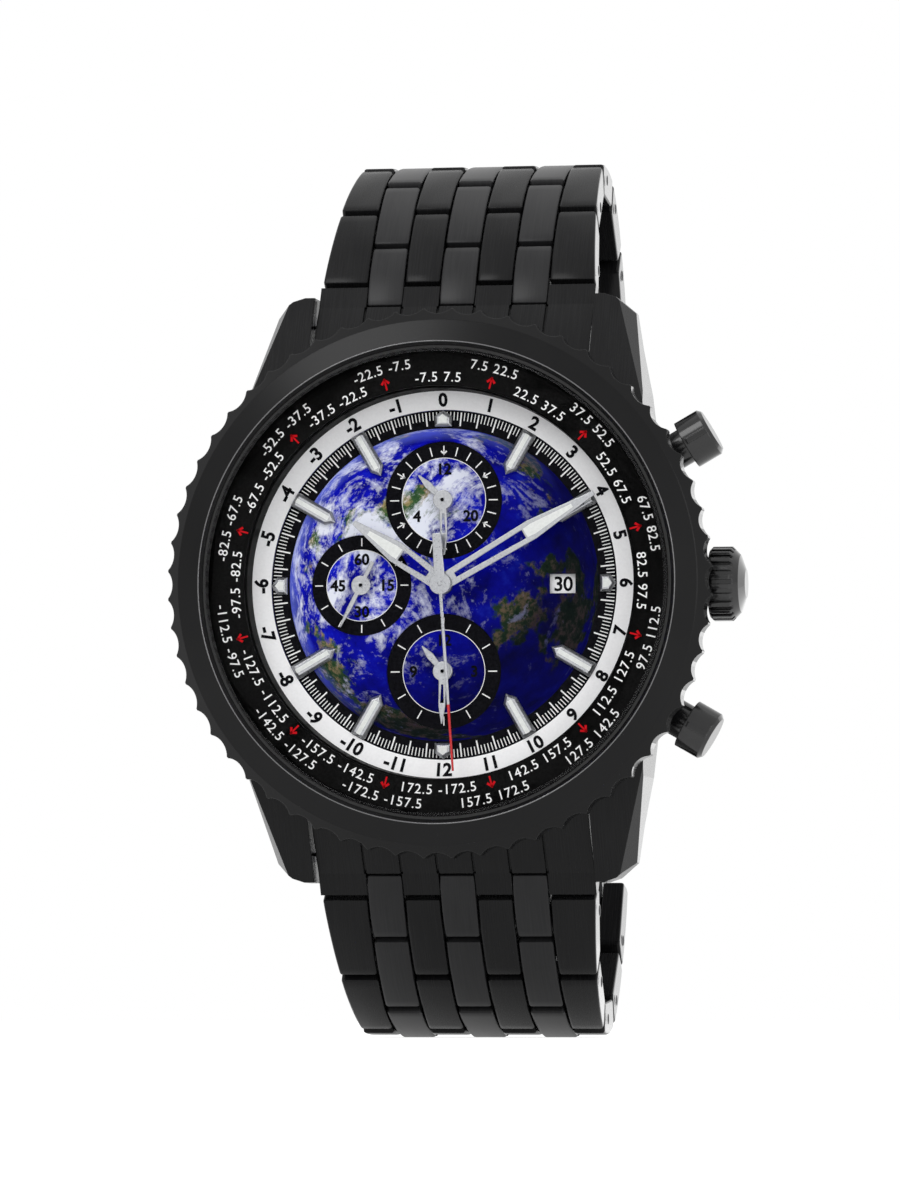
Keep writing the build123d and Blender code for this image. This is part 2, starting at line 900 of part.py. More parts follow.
# Pushers: a cap whose skirt slides over the tube, a rod into the case, and a spring inside the skirt
pusher_reach = cap_inner_reach + pusher_cap_length
for clock, push_angle in ((2, pusher_angle), (4, -pusher_angle)):
    with BuildPart() as pusher:
        skirt_bore = pusher_tube_radius + sliding_clearance
        turned_radially(
            push_angle,
            [
                (rod_end_reach, 0),
                (rod_end_reach, pusher_rod_radius),
                (skirt_end, pusher_rod_radius),
                (skirt_end, skirt_bore),
                (cap_inner_reach, skirt_bore),
                (cap_inner_reach, pusher_cap_radius),
                (pusher_reach - pusher_cap_bevel, pusher_cap_radius),
                (pusher_reach, pusher_cap_radius - pusher_cap_bevel),
                (pusher_reach, 0),
            ],
        )
        with BuildSketch(radial_plane(push_angle)):
            with Locations(((cap_inner_reach + pusher_reach) / 2, pusher_cap_radius)):
                Rectangle(pusher_cap_length - pusher_cap_bevel * 2, pusher_rib_height * 2)
        extrude(amount=pusher_rib_width / 2, both=True)
    keep(pusher, f"pusher_{clock}")
    with BuildPart() as pusher_spring:
        spring_bore = pusher_rod_radius + sliding_clearance
        turned_radially(
            push_angle,
            [
                (pusher_tube_reach + spring_end_gap, spring_bore),
                (skirt_end - spring_end_gap, spring_bore),
                (skirt_end - spring_end_gap, pusher_tube_radius),
                (pusher_tube_reach + spring_end_gap, pusher_tube_radius),
            ],
        )
    keep(pusher_spring, f"pusher_spring_{clock}")

# Spring bars, one through each end link into the lugs
with BuildPart() as spring_bars:
    for end in (1, -1):
        with BuildSketch(Plane.YZ):
            with Locations((-spring_bar_height, end * spring_bar_z)):
                Circle(spring_bar_radius)
        extrude(amount=end_link_width / 2, both=True)
        with BuildSketch(Plane.YZ):
            with Locations((-spring_bar_height, end * spring_bar_z)):
                Circle(spring_bar_tip_radius)
        extrude(amount=lug_inner_x + spring_bar_tip_length, both=True)
keep(spring_bars, "spring_bars")

# The bracelet's hinge pins lie on an ellipse round the wrist
end_link_pin_z = lug_reach - end_link_pin_inset
loop_centre = end_link_pin_depth + loop_half_depth * math.sqrt(1 - (end_link_pin_z / loop_half_height) ** 2)
link_reach = (pitch - link_gap) / 2
half_thickness = link_thickness / 2
inner_half_width = column_width * 5 / 2
even_columns = (-2 * column_width, 0, 2 * column_width)


def loop_point(angle):
    """A point of the ellipse, as (Y, Z), from the middle of the head round to the clasp."""
    return loop_centre - loop_half_depth * math.cos(angle), loop_half_height * math.sin(angle)


def next_angle(start, chord):
    """The place on the ellipse one chord further round."""
    low, high = start, start + math.pi / 3
    for _ in range(60):
        middle = (low + high) / 2
        if math.dist(loop_point(start), loop_point(middle)) < chord:
            low = middle
        else:
            high = middle
    return low


def hinge_points(rows):
    """The (Y, Z) places of the hinge pins of one side, from the end link to the clasp."""
    angle = math.asin(end_link_pin_z / loop_half_height)
    points = [loop_point(angle)]
    for row in range(rows):
        angle = next_angle(angle, first_pitch if row == 0 else pitch)
        points.append(loop_point(angle))
    return points


def outer_half_width(distance):
    """The bracelet's half width, which narrows quickly at the end links and slowly towards the clasp."""
    share = 1 - distance / (first_pitch + pitch * upper_rows)
    return clasp_width / 2 + (end_link_width - clasp_width) / 2 * share**2


def hinge_circles(frame, places, radius, half_length, mode):
    """Round pins or holes across the bracelet at places along a link."""
    with BuildSketch(frame) as rounds:
        with Locations(*places):
            Circle(radius)
    extrude(rounds.sketch, amount=half_length, both=True, mode=mode)


def link_row(side, row, start, end):
    """One row of links between two hinge pins: four blocks with both pins, or three bored blocks."""
    length = math.dist(start, end)
    along = (0, (end[0] - start[0]) / length, side * (end[1] - start[1]) / length)
    outward = (0, -side * along[2], side * along[1])
    origin = (0, start[0], side * start[1])
    side_frame = Plane(origin=origin, x_dir=along, z_dir=(side, 0, 0))
    top_frame = Plane(origin=origin, x_dir=along, z_dir=outward)
    start_reach = first_start_reach if row == 1 else link_reach
    low, high = -start_reach, length + link_reach
    run = first_pitch * (row > 1) + pitch * max(row - 2, 0)
    corner = link_reach - math.sqrt(link_reach**2 - half_thickness**2)
    with BuildPart() as blocks:
        with BuildSketch(top_frame):
            if row % 2:
                with Locations(*[((low + high) / 2, x) for x in even_columns]):
                    Rectangle(high - low, column_width - column_gap)
            else:
                with Locations(((low + high) / 2, column_width), ((low + high) / 2, -column_width)):
                    Rectangle(high - low, column_width - column_gap)
                inner = inner_half_width + column_gap / 2
                for hand_side in (1, -1):
                    with BuildLine():
                        Polyline(
                            (low, hand_side * inner),
                            (high, hand_side * inner),
                            (high, hand_side * outer_half_width(run + high)),
                            (low, hand_side * outer_half_width(run + low)),
                            close=True,
                        )
                    make_face()
        extrude(amount=link_thickness, both=True)
        with BuildSketch(side_frame):
            with BuildLine():
                crest = half_thickness - link_crown
                ThreePointArc((low, crest), ((low + high) / 2, half_thickness), (high, crest))
                Polyline(
                    (high, crest),
                    (high, 0),
                    (high - corner, -half_thickness),
                    (low + corner, -half_thickness),
                    (low, 0),
                    (low, crest),
                )
            make_face()
        extrude(amount=end_link_width, both=True, mode=Mode.INTERSECT)
        pins = [(0, 0), (length, 0)]
        if row % 2:
            bore = hinge_pin_radius + hinge_clearance
            hinge_circles(side_frame, pins, bore, end_link_width, Mode.SUBTRACT)
        else:
            hinge_circles(side_frame, pins, hinge_pin_radius, inner_half_width + pin_seat, Mode.ADD)
    return blocks


upper_pins = hinge_points(upper_rows)
lower_pins = hinge_points(lower_rows)
for side, side_name, pins in ((1, "upper", upper_pins), (-1, "lower", lower_pins)):
    for row in range(1, len(pins)):
        piece = link_row(side, row, pins[row - 1], pins[row])
        keep(piece, f"{side_name}_link_{row:02d}")
    print(side_name, "hinge pins, Y and Z:", [(round(y, 4), round(side * z, 4)) for y, z in pins])

# End links: solid pieces between the lugs, curved to the barrel, with eyes for the first row
end_link_reach = upper_pins[0][1]
slope = math.radians(end_link_slope)


def end_link_point(along, outward):
    """A (Y, Z) point of the upper end link's side view, from its place beside the first hinge pin."""
    return (
        end_link_pin_depth + along * math.sin(slope) - outward * math.cos(slope),
        end_link_reach + along * math.cos(slope) + outward * math.sin(slope),
    )


eye_corner = half_thickness - link_crown
end_link_side = [
    (-end_link_root_height, end_link_root_z),
    end_link_point(-end_link_slot_reach, eye_corner + link_crown / 2),
    end_link_point(end_link_eye_reach, eye_corner),
    end_link_point(end_link_eye_reach, 0),
    end_link_point(end_link_eye_reach / 4, -half_thickness),
    (end_link_underside, lug_heel_z),
    (end_link_underside, end_link_root_z),
]
end_link_crest = (-end_link_crest_height, end_link_crest_z)
groove_side = [
    (column_groove_depth - end_link_crest_height, end_link_crest_z),
    end_link_point(-end_link_slot_reach, eye_corner + link_crown / 2 - column_groove_depth),
    end_link_point(-end_link_slot_reach, link_thickness),
    (-end_link_root_height, end_link_crest_z),
]
slot_side = [
    end_link_point(-end_link_slot_reach, -link_thickness),
    end_link_point(-end_link_slot_reach, link_thickness),
    end_link_point(link_thickness, link_thickness),
    end_link_point(link_thickness, -link_thickness),
]
with BuildPart() as end_links:
    with BuildSketch(Plane.YZ):
        with BuildLine():
            ThreePointArc(end_link_side[0], end_link_crest, end_link_side[1])
            Polyline(*end_link_side[1:], end_link_side[0])
        make_face()
        mirror(about=Plane.XZ)
    extrude(amount=end_link_width / 2, both=True)
    disc(
        barrel_radius + end_link_case_gap,
        -link_thickness,
        barrel_top + cutting_overrun,
        mode=Mode.SUBTRACT,
    )
    for column in even_columns:
        with BuildSketch(Plane.YZ.offset(column)):
            with BuildLine():
                Polyline(*slot_side, close=True)
            make_face()
            mirror(about=Plane.XZ)
        extrude(amount=column_width / 2, both=True, mode=Mode.SUBTRACT)
        for edge in (1, -1):
            with BuildSketch(Plane.YZ.offset(column + edge * column_width / 2)):
                with BuildLine():
                    Polyline(*groove_side, close=True)
                make_face()
                mirror(about=Plane.XZ)
            extrude(amount=column_groove_width / 2, both=True, mode=Mode.SUBTRACT)
    spring_bar_places = [(-spring_bar_height, spring_bar_z), (-spring_bar_height, -spring_bar_z)]
    hinge_circles(
        Plane.YZ,
        spring_bar_places,
        spring_bar_radius + sliding_clearance,
        end_link_width,
        Mode.SUBTRACT,
    )
    first_pins = [(end_link_pin_depth, end_link_reach), (end_link_pin_depth, -end_link_reach)]
    hinge_circles(Plane.YZ, first_pins, hinge_pin_radius, inner_half_width + pin_seat, Mode.ADD)
keep(end_links, "end_links")

# The clasp follows an arc through the last pin of each side
upper_end = (upper_pins[-1][0], upper_pins[-1][1])
lower_end = (lower_pins[-1][0], -lower_pins[-1][1])
clasp_chord = math.dist(upper_end, lower_end)
clasp_half_span = clasp_radius * math.asin(clasp_chord / 2 / clasp_radius)
clasp_frame = Plane(
    origin=(0, (upper_end[0] + lower_end[0]) / 2, (upper_end[1] + lower_end[1]) / 2),
    x_dir=(0, (upper_end[0] - lower_end[0]) / clasp_chord, (upper_end[1] - lower_end[1]) / clasp_chord),
    z_dir=(-1, 0, 0),
)
clasp_centre_drop = math.sqrt(clasp_radius**2 - (clasp_chord / 2) ** 2)


def clasp_point(place, lift):
    """A point of the clasp's side view, from its place along the arc and its lift off the arc."""
    turn = place / clasp_radius
    return (clasp_radius + lift) * math.sin(turn), (clasp_radius + lift) * math.cos(turn) - clasp_centre_drop


def curved_plate(start, end, low, high, inner_x, outer_x, mode=Mode.ADD):
    """A plate bent to the clasp's arc, from inner_x to outer_x on both sides of the middle."""
    middle = (start + end) / 2
    with BuildSketch(clasp_frame) as section:
        with BuildLine():
            ThreePointArc(clasp_point(start, high), clasp_point(middle, high), clasp_point(end, high))
            Line(clasp_point(end, high), clasp_point(end, low))
            ThreePointArc(clasp_point(end, low), clasp_point(middle, low), clasp_point(start, low))
            Line(clasp_point(start, low), clasp_point(start, high))
        make_face()
    if inner_x == 0:
        extrude(section.sketch, amount=outer_x, both=True, mode=mode)
    else:
        for hand_side in (1, -1):
            shifted = section.sketch.moved(Location((hand_side * inner_x, 0, 0)))
            extrude(shifted, amount=outer_x - inner_x, dir=(hand_side, 0, 0), mode=mode)


def clasp_rod(place, lift, radius, inner_x, outer_x, mode=Mode.ADD):
    """A round pin, barrel or bore across the clasp, on both sides of the middle."""
    with BuildSketch(clasp_frame) as section:
        with Locations(clasp_point(place, lift)):
            Circle(radius)
    if inner_x == 0:
        extrude(section.sketch, amount=outer_x, both=True, mode=mode)
    else:
        for hand_side in (1, -1):
            shifted = section.sketch.moved(Location((hand_side * inner_x, 0, 0)))
            extrude(shifted, amount=outer_x - inner_x, dir=(hand_side, 0, 0), mode=mode)


cover_start = cover_start_gap - clasp_half_span
first_hinge = first_hinge_inset - clasp_half_span
second_hinge = clasp_half_span - second_hinge_inset
side_wall_x = clasp_width / 2 - cover_side_wall
pin_bore_radius = hinge_pin_radius + hinge_clearance
leaf_bore_radius = leaf_pin_radius + hinge_clearance
button_start_x = leaf_half_width + button_inner_gap

# Clasp cover: curved outer wall, two side walls with button holes, eyes for the last upper row
with BuildPart() as clasp_cover:
    curved_plate(
        cover_start,
        clasp_half_span + cover_overhang,
        cover_headroom,
        cover_headroom + cover_wall,
        0,
        clasp_width / 2,
    )
    curved_plate(
        cover_start,
        clasp_half_span - cover_start_gap,
        -cover_side_drop,
        cover_headroom,
        side_wall_x,
        clasp_width / 2,
    )
    for column in even_columns:
        with BuildSketch(clasp_frame) as eye:
            with Locations(clasp_point(clasp_half_span, 0)):
                Circle(cover_eye_radius)
            with Locations(clasp_point(clasp_half_span, cover_headroom / 2)):
                Rectangle(cover_eye_radius * 2, cover_headroom)
        moved_eye = eye.sketch.moved(Location((column, 0, 0)))
        extrude(moved_eye, amount=(column_width - column_gap) / 2, both=True)
    clasp_rod(clasp_half_span, 0, pin_bore_radius, 0, clasp_width, mode=Mode.SUBTRACT)
    clasp_rod(first_hinge, first_hinge_level, leaf_pin_radius, 0, side_wall_x + cover_side_wall / 2)
    clasp_rod(
        second_hinge,
        button_level,
        button_radius + button_clearance,
        leaf_half_width,
        clasp_width,
        mode=Mode.SUBTRACT,
    )
keep(clasp_cover, "clasp_cover")

# Outer leaf, hinged to the cover, with the second hinge's pin
with BuildPart() as clasp_leaf_outer:
    curved_plate(
        first_hinge,
        second_hinge,
        outer_leaf_level,
        outer_leaf_level + leaf_thickness,
        0,
        leaf_half_width,
    )
    clasp_rod(first_hinge, first_hinge_level, leaf_barrel_radius, 0, side_wall_x - leaf_side_gap)
    clasp_rod(first_hinge, first_hinge_level, leaf_bore_radius, 0, clasp_width, mode=Mode.SUBTRACT)
    curved_plate(
        second_hinge - leaf_barrel_radius - tongue_gap,
        second_hinge + leaf_barrel_radius + tongue_gap,
        -link_thickness,
        cover_headroom,
        0,
        tongue_half_width + tongue_gap,
        mode=Mode.SUBTRACT,
    )
    clasp_rod(
        second_hinge,
        second_hinge_level,
        leaf_barrel_radius,
        tongue_half_width + tongue_gap,
        leaf_half_width,
    )
    clasp_rod(second_hinge, second_hinge_level, leaf_pin_radius, 0, leaf_half_width)
keep(clasp_leaf_outer, "clasp_leaf_outer")

# Inner leaf, against the wrist, with two eyes for the last lower row
with BuildPart() as clasp_leaf_inner:
    leaf_end = second_hinge - leaf_barrel_radius - tongue_gap
    curved_plate(
        inner_leaf_start_gap - clasp_half_span,
        leaf_end,
        inner_leaf_level,
        inner_leaf_level + leaf_thickness,
        0,
        leaf_half_width,
    )
    curved_plate(
        leaf_end - leaf_thickness,
        second_hinge,
        inner_leaf_level,
        inner_leaf_level + leaf_thickness,
        0,
        tongue_half_width,
    )
    clasp_rod(second_hinge, second_hinge_level, leaf_barrel_radius, 0, tongue_half_width)
    clasp_rod(second_hinge, second_hinge_level, leaf_bore_radius, 0, clasp_width, mode=Mode.SUBTRACT)
    for column in (column_width, -column_width):
        with BuildSketch(clasp_frame) as eye:
            with Locations(clasp_point(-clasp_half_span, 0)):
                Circle(inner_leaf_eye_radius)
            with BuildLine():
                Polyline(
                    clasp_point(-clasp_half_span, inner_leaf_eye_radius),
                    clasp_point(inner_leaf_start_gap - clasp_half_span, inner_leaf_level + leaf_thickness),
                    clasp_point(inner_leaf_start_gap - clasp_half_span, inner_leaf_level),
                    clasp_point(-clasp_half_span, -inner_leaf_eye_radius),
                    close=True,
                )
            make_face()
        moved_eye = eye.sketch.moved(Location((column, 0, 0)))
        extrude(moved_eye, amount=(column_width - column_gap) / 2, both=True)
    clasp_rod(-clasp_half_span, 0, pin_bore_radius, 0, clasp_width, mode=Mode.SUBTRACT)
keep(clasp_leaf_inner, "clasp_leaf_inner")

# Push-buttons that free the second hinge from the cover's side walls
for hand_side, hand_name in ((-1, "left"), (1, "right")):
    with BuildPart() as clasp_button:
        for radius, near, far in (
            (button_flange_radius, button_start_x, button_start_x + button_flange_length),
            (button_radius, button_start_x, clasp_width / 2 + button_stand_out),
        ):
            with BuildSketch(clasp_frame) as section:
                with Locations(clasp_point(second_hinge, button_level)):
                    Circle(radius)
            shifted = section.sketch.moved(Location((hand_side * near, 0, 0)))
            extrude(shifted, amount=far - near, dir=(hand_side, 0, 0))
    keep(clasp_button, f"clasp_button_{hand_name}")

for hinge_name, hinge_place, hinge_level in (
    ("first", first_hinge, first_hinge_level),
    ("second", second_hinge, second_hinge_level),
):
    hinge = clasp_frame.from_local_coords(Vector(*clasp_point(hinge_place, hinge_level)))
    print("clasp", hinge_name, "hinge, Y and Z:", round(hinge.Y, 4), round(hinge.Z, 4))
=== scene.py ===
"""Looks of the world time watch: materials, print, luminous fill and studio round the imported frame.

Everything is in metres. The dial faces -Y, 12 o'clock is +Z and the crown points along +X. A place on
the dial is given by its clock angle, in degrees clockwise from 12 o'clock, and its distance from the
hands' axis.
"""

import json
import math

import bpy
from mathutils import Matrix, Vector


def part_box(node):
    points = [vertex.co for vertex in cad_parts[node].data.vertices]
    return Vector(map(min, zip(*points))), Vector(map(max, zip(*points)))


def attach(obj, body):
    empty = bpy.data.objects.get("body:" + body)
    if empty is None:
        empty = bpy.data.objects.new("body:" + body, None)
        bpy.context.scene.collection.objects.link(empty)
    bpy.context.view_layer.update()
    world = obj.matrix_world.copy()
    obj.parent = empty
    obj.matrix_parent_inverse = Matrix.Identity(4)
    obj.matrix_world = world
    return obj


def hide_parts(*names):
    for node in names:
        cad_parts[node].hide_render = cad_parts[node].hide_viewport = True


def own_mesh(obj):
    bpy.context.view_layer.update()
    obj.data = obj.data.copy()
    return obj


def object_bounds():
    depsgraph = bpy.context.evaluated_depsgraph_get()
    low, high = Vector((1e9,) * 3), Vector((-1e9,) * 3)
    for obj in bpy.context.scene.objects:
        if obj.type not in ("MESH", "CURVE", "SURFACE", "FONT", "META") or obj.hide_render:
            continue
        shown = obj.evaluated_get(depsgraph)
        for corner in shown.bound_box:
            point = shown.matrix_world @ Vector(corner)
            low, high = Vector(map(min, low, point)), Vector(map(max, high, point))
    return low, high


MM = 0.001

# Degrees round the dial
FULL_TURN = 360
HALF_TURN = 180
QUARTER_TURN = 90
CLOCK_HOUR = 30

# Camera, read from the photograph
IMAGE_HEIGHT_PX = 1200
PHOTO_PX_PER_MM = 11.487
CAMERA_AZIMUTH = 9.75
CAMERA_ELEVATION = -3.3
CAMERA_DISTANCE = 631 * MM
CAMERA_AIM = (0.97 * MM, -10 * MM, -1.49 * MM)
CAMERA_CLIP = 10 * MM
SENSOR_SIZE = 36.0

# Dial layout
MINUTES = 60
MINUTE_RING_INNER = 13.7 * MM
MINUTE_RING_OUTER = 15.3 * MM
TICK_OUTER = 15.15 * MM
LONG_TICK = 1.2 * MM
SHORT_TICK = 0.72 * MM
TICKS_PER_MINUTE = 5
LONG_TICK_WIDTH = 0.13 * MM
SHORT_TICK_WIDTH = 0.08 * MM
PRINT_LIFT = 0.015 * MM
PAINT_LIFT = 0.03 * MM

# Sub-dials: place, inner disc, outer edge, ticks as (count, from, to) and numerals as (text, clock angle,
# distance)
TOP_DIAL = {
    "clock": 0,
    "distance": 7.4 * MM,
    "disc": 3.74 * MM,
    "edge": 5.15 * MM,
    "ticks": (24, 3.98 * MM, 4.78 * MM),
    "numerals": (("12", 0, 2.75 * MM), ("20", 120, 2.75 * MM), ("4", 240, 2.75 * MM)),
}
LEFT_DIAL = {
    "clock": 270,
    "distance": 7.3 * MM,
    "disc": 3.15 * MM,
    "edge": 4.41 * MM,
    "ticks": (12, 3.45 * MM, 4.15 * MM),
    "numerals": (("60", 0, 2.3 * MM), ("15", 90, 2.25 * MM), ("30", 180, 2.3 * MM), ("45", 270, 2.1 * MM)),
}
BOTTOM_DIAL = {
    "clock": 180,
    "distance": 7.6 * MM,
    "disc": 3.67 * MM,
    "edge": 5.05 * MM,
    "ticks": (12, 3.92 * MM, 4.72 * MM),
    "numerals": (("12", 0, 2.75 * MM), ("3", 90, 2.7 * MM), ("6", 180, 2.75 * MM), ("9", 270, 2.7 * MM)),
}
HUBS = {"local_minute_hand": TOP_DIAL, "small_seconds_hand": LEFT_DIAL, "counter_minute_hand": BOTTOM_DIAL}
HUB_DOT_RADIUS = 0.16 * MM
SUB_DIAL_SINK = 0.12 * MM
SUB_TICK_WIDTH = 0.1 * MM
SUB_NUMERAL_SIZE = 1.34 * MM
SUB_NUMERAL_WEIGHT = 0.034
RIM_LINE_WIDTH = 0.06 * MM
TICKS_PER_ARROW = 4
SMALL_ARROW_HEAD = 0.3 * MM

# Date
DATE_COUNT = 31
DATE_SHOWN = 30
DATE_RADIUS = 10.5 * MM
DATE_SIZE = 1.76 * MM
DATE_WEIGHT = 0.02
DATE_LETTER_SPACING = 0.95

# 24-hour ring: its numerals, then its profile as (distance, height) from foot over crest to wall
HOURS = range(-11, 13)
LAST_UPRIGHT_HOUR = 6
HOUR_NUMERAL_RADIUS = 16.18 * MM
HOUR_NUMERAL_SIZE = 1.58 * MM
HOUR_NUMERAL_WEIGHT = 0.036
HOUR_RING_FOOT = (15.32 * MM, 7.72 * MM)
HOUR_RING_CREST = (16.95 * MM, 8.12 * MM)
HOUR_RING_WALL = (
    (17.08 * MM, 9.8 * MM),
    (17.16 * MM, 9.85 * MM),
    (18.5 * MM, 9.85 * MM),
    (18.5 * MM, 7.62 * MM),
    (15.32 * MM, 7.62 * MM),
)

# Place ring: zone longitudes in two rows, with an arrow to each outer one
ZONE_WIDTH_DEGREES = 15
ZONE_INNER_ROW = 18.0 * MM
ZONE_OUTER_ROW = 19.3 * MM
ZONE_TEXT_SIZE = 1.2 * MM
ZONE_TEXT_WEIGHT = 0.004
ZONE_LETTER_SPACING = 1.12
ARROW_RADII = (17.45 * MM, 18.5 * MM)
ARROW_HEAD = 0.42 * MM
ARROW_LINE = 0.15 * MM
ARROW_NOTCH_SHARE = 1.6

# The polished bead along the bezel's crest, in a lighter steel that paints a highlight line there: its
# distance from the hands' axis, height and radius
BEZEL_BEAD = (21.0 * MM, 12.07 * MM, 0.06 * MM)
BEAD_SIDES = 12

# Luminous fill on the hands: clock angle, then (distance, half width) at its foot, widest place and tip
HOUR_LUME = (305, (4.55 * MM, 0.5 * MM), (5.1 * MM, 0.52 * MM), (7.9 * MM, 0.2 * MM))
MINUTE_LUME = (60, (8.65 * MM, 0.42 * MM), (9.4 * MM, 0.5 * MM), (13.4 * MM, 0.16 * MM))
SWEEP_PAINT_START = 10.6 * MM

# White fill on the hour markers: from and to on a baton, foot, shoulder and tip on a house
BATON_FILL = (11.75 * MM, 15.05 * MM)
BATON_FILL_WIDTH = 0.4 * MM
HOUSE_FILL = (14.16 * MM, 14.62 * MM, 14.92 * MM)
HOUSE_FILL_HALF_WIDTH = 0.38 * MM

# Pin holes in the outer links' crown-side faces, each a flat black disc of painted shade with a thin
# countersunk rim
PIN_HOLE_RADIUS = 0.48 * MM
PIN_RIM_WIDTH = 0.09 * MM
PIN_SIDE_LIFT = 0.012 * MM
PIN_FACE_REACH = 4.0 * MM

# Springs in the pushers and the crown's seal ring
PUSHER_CLOCKS = (2, 4)
SPRING_TURNS = 3
SPRING_WIRE = 0.12 * MM
SEAL_WIRE = 0.235 * MM

# Rounded edges of the link blocks
WELD_REACH = 0.002 * MM
LINK_EDGE = 0.26 * MM
LINK_EDGE_STEPS = 3
LINK_EDGE_ANGLE = 40

# How finely round shapes are divided
RING_STEPS = 144
SUB_RING_STEPS = 96
DOT_STEPS = 24
TURNED_STEPS = 180
WOUND_STEPS = 48
WIRE_SIDES = 10
TEXT_STEPS = 3

# The Mix node's inputs for the factor and the two colours, and its output for a colour
MIX_INPUTS = (0, 6, 7)
MIX_RESULT = 2

# Plain tones, and the places on a noise where a finish is darkest and lightest
BLACK = (0, 0, 0)
WHITE = (1, 1, 1)
TONE_PLACES = (0.3, 0.7)

# Surface patterns, in repeats per metre along each axis, and the depths of their relief. A turned face
# has no grain of its own, but rings round the hands' axis
GRAIN_ACROSS = 9000
GRAIN_ALONG = 260
BRACELET_GRAIN = (GRAIN_ACROSS, GRAIN_ALONG, GRAIN_ALONG)
EVEN_GRAIN = (3200, 3200, 3200)
PLATED_GRAIN = (5200, 5200, 5200)
BEZEL_GRAIN = (60, 60, 60)
CLOUDY_PATTERN = (160, 160, 160)
SKIN_PATTERN = (4000, 4000, 4000)
SMEAR_PATTERN = (90, 90, 90)
GRAIN_SHARE = 0.6
GRAIN_DEPTH = 0.0012 * MM
FINE_DEPTH = 0.0004 * MM
BEVEL_RADIUS = 0.14 * MM
BEVEL_SAMPLES = 6

# Coated steel: its darkest and lightest tone, and the polished side faces' clear coat
STEEL_TONES = ((0.005, 0.005, 0.0055), (0.011, 0.011, 0.0115))
SIDE_FACING = 0.9
COAT_ROUGHNESS = 0.06
COAT_INDEX = 1.5

# Black steel finishes: tone multiplies the coated steel's, and the index sets how strong the sheen is
BLACK_STEELS = {
    "black_steel": {"grain": BRACELET_GRAIN, "index": 1.24},
    "black_satin": {"grain": BRACELET_GRAIN, "roughness": (0.28, 0.42), "tone": 1.9, "index": 1.32},
    "black_bezel": {
        "grain": BEZEL_GRAIN,
        "roughness": (0.2, 0.26),
        "tone": 0.7,
        "index": 1.26,
        "depth": FINE_DEPTH,
    },
    "black_turned": {"grain": None, "tone": 1.2},
    "black_polished": {"grain": EVEN_GRAIN, "roughness": (0.1, 0.18), "tone": 0.9, "index": 1.5},
    # The bead's steel is six times lighter than the rest: a painted highlight along the bezel's crest.
    "bead_highlight_steel": {"grain": EVEN_GRAIN, "roughness": (0.1, 0.16), "tone": 6.0, "index": 2.1},
}

# Bare metals: darkest and lightest tone, range of roughness and grain
SILVER = {
    "tones": ((0.36, 0.37, 0.39), (0.56, 0.57, 0.59)),
    "roughness": (0.2, 0.38),
    "grain": PLATED_GRAIN,
}
BARE_METALS = {
    "silver_plate": SILVER,
    "bright_steel": {
        "tones": ((0.45, 0.45, 0.47), (0.64, 0.64, 0.66)),
        "roughness": (0.2, 0.35),
        "grain": BRACELET_GRAIN,
    },
    "plated_brass": {"tones": ((0.5, 0.46, 0.36), (0.64, 0.6, 0.5)), "roughness": (0.25, 0.4)},
}
HAND_RED = (0.6, 0.01, 0.015)

# Lacquers, plastics and print
PRINT_INDEX = 1.12
LACQUERS = {
    "seal_rubber": {"tones": ((0.012, 0.012, 0.012), (0.025, 0.025, 0.025)), "roughness": (0.6, 0.8)},
    "holder_plastic": {"tones": ((0.66, 0.66, 0.63), (0.76, 0.76, 0.73))},
    "white_lacquer": {"tones": ((0.92, 0.92, 0.93), (0.97, 0.97, 0.98))},
    "black_lacquer": {
        "tones": ((0.002, 0.002, 0.002), (0.006, 0.006, 0.006)),
        "roughness": (0.42, 0.55),
        "index": PRINT_INDEX,
    },
    "white_print": {"tones": ((0.85, 0.85, 0.85), (0.92, 0.92, 0.92))},
    "black_print": {"tones": ((0.001, 0.001, 0.002), (0.005, 0.005, 0.007)), "index": PRINT_INDEX},
    "red_print": {"tones": ((0.5, 0.004, 0.008), (0.62, 0.008, 0.014)), "index": PRINT_INDEX},
    "lume": {"tones": ((0.76, 0.78, 0.76), (0.86, 0.88, 0.86)), "roughness": (0.6, 0.75)},
}

# Crystal: where its bevelled edge begins, its tint, and how much of it shows face on to edge on and at the
# edge, where it paints a faint highlight line
CRYSTAL_EDGE = 20.08 * MM
GLASS_TINT = (0.03, 0.03, 0.032, 1)
GLASS_INDEX = 1.5
GLASS_ROUGHNESS = (0.015, 0.05)
GLASS_SHEEN = ((0.35, BLACK), (0.95, (0.3, 0.3, 0.3)))
GLASS_EDGE_HIGHLIGHT = 0.22

# The dial's planet: the part of the noise that it is cut from, and the direction of its light
PLANET_TURN = (2.5, 0.4, 1.1)
PLANET_PLACE = (3.1, 7.7, 1.3)
PLANET_LIGHT = (-0.62, 0.62, 0.48)
PLANET_LEAST_DEPTH = 0.002
PLANET_ROUGHNESS = (0.4, 0.5)
PLANET_RELIEF = 0.001 * MM

# The planet's noises: scale, detail, roughness and, for the clouds' swirl, distortion
SEA_NOISE = (5.0, 9, 0.65)
LAND_NOISE = (13.0, 8, 0.7)
COAST_NOISE = (1.5, 10, 0.6)
SWIRL_NOISE = (2.3, 12, 0.66, 1.4)
WISP_NOISE = (26.0, 6, 0.7)
SWIRL_SHARE = 0.74
CLOUD_GATHERING = (-0.085, 0.035)

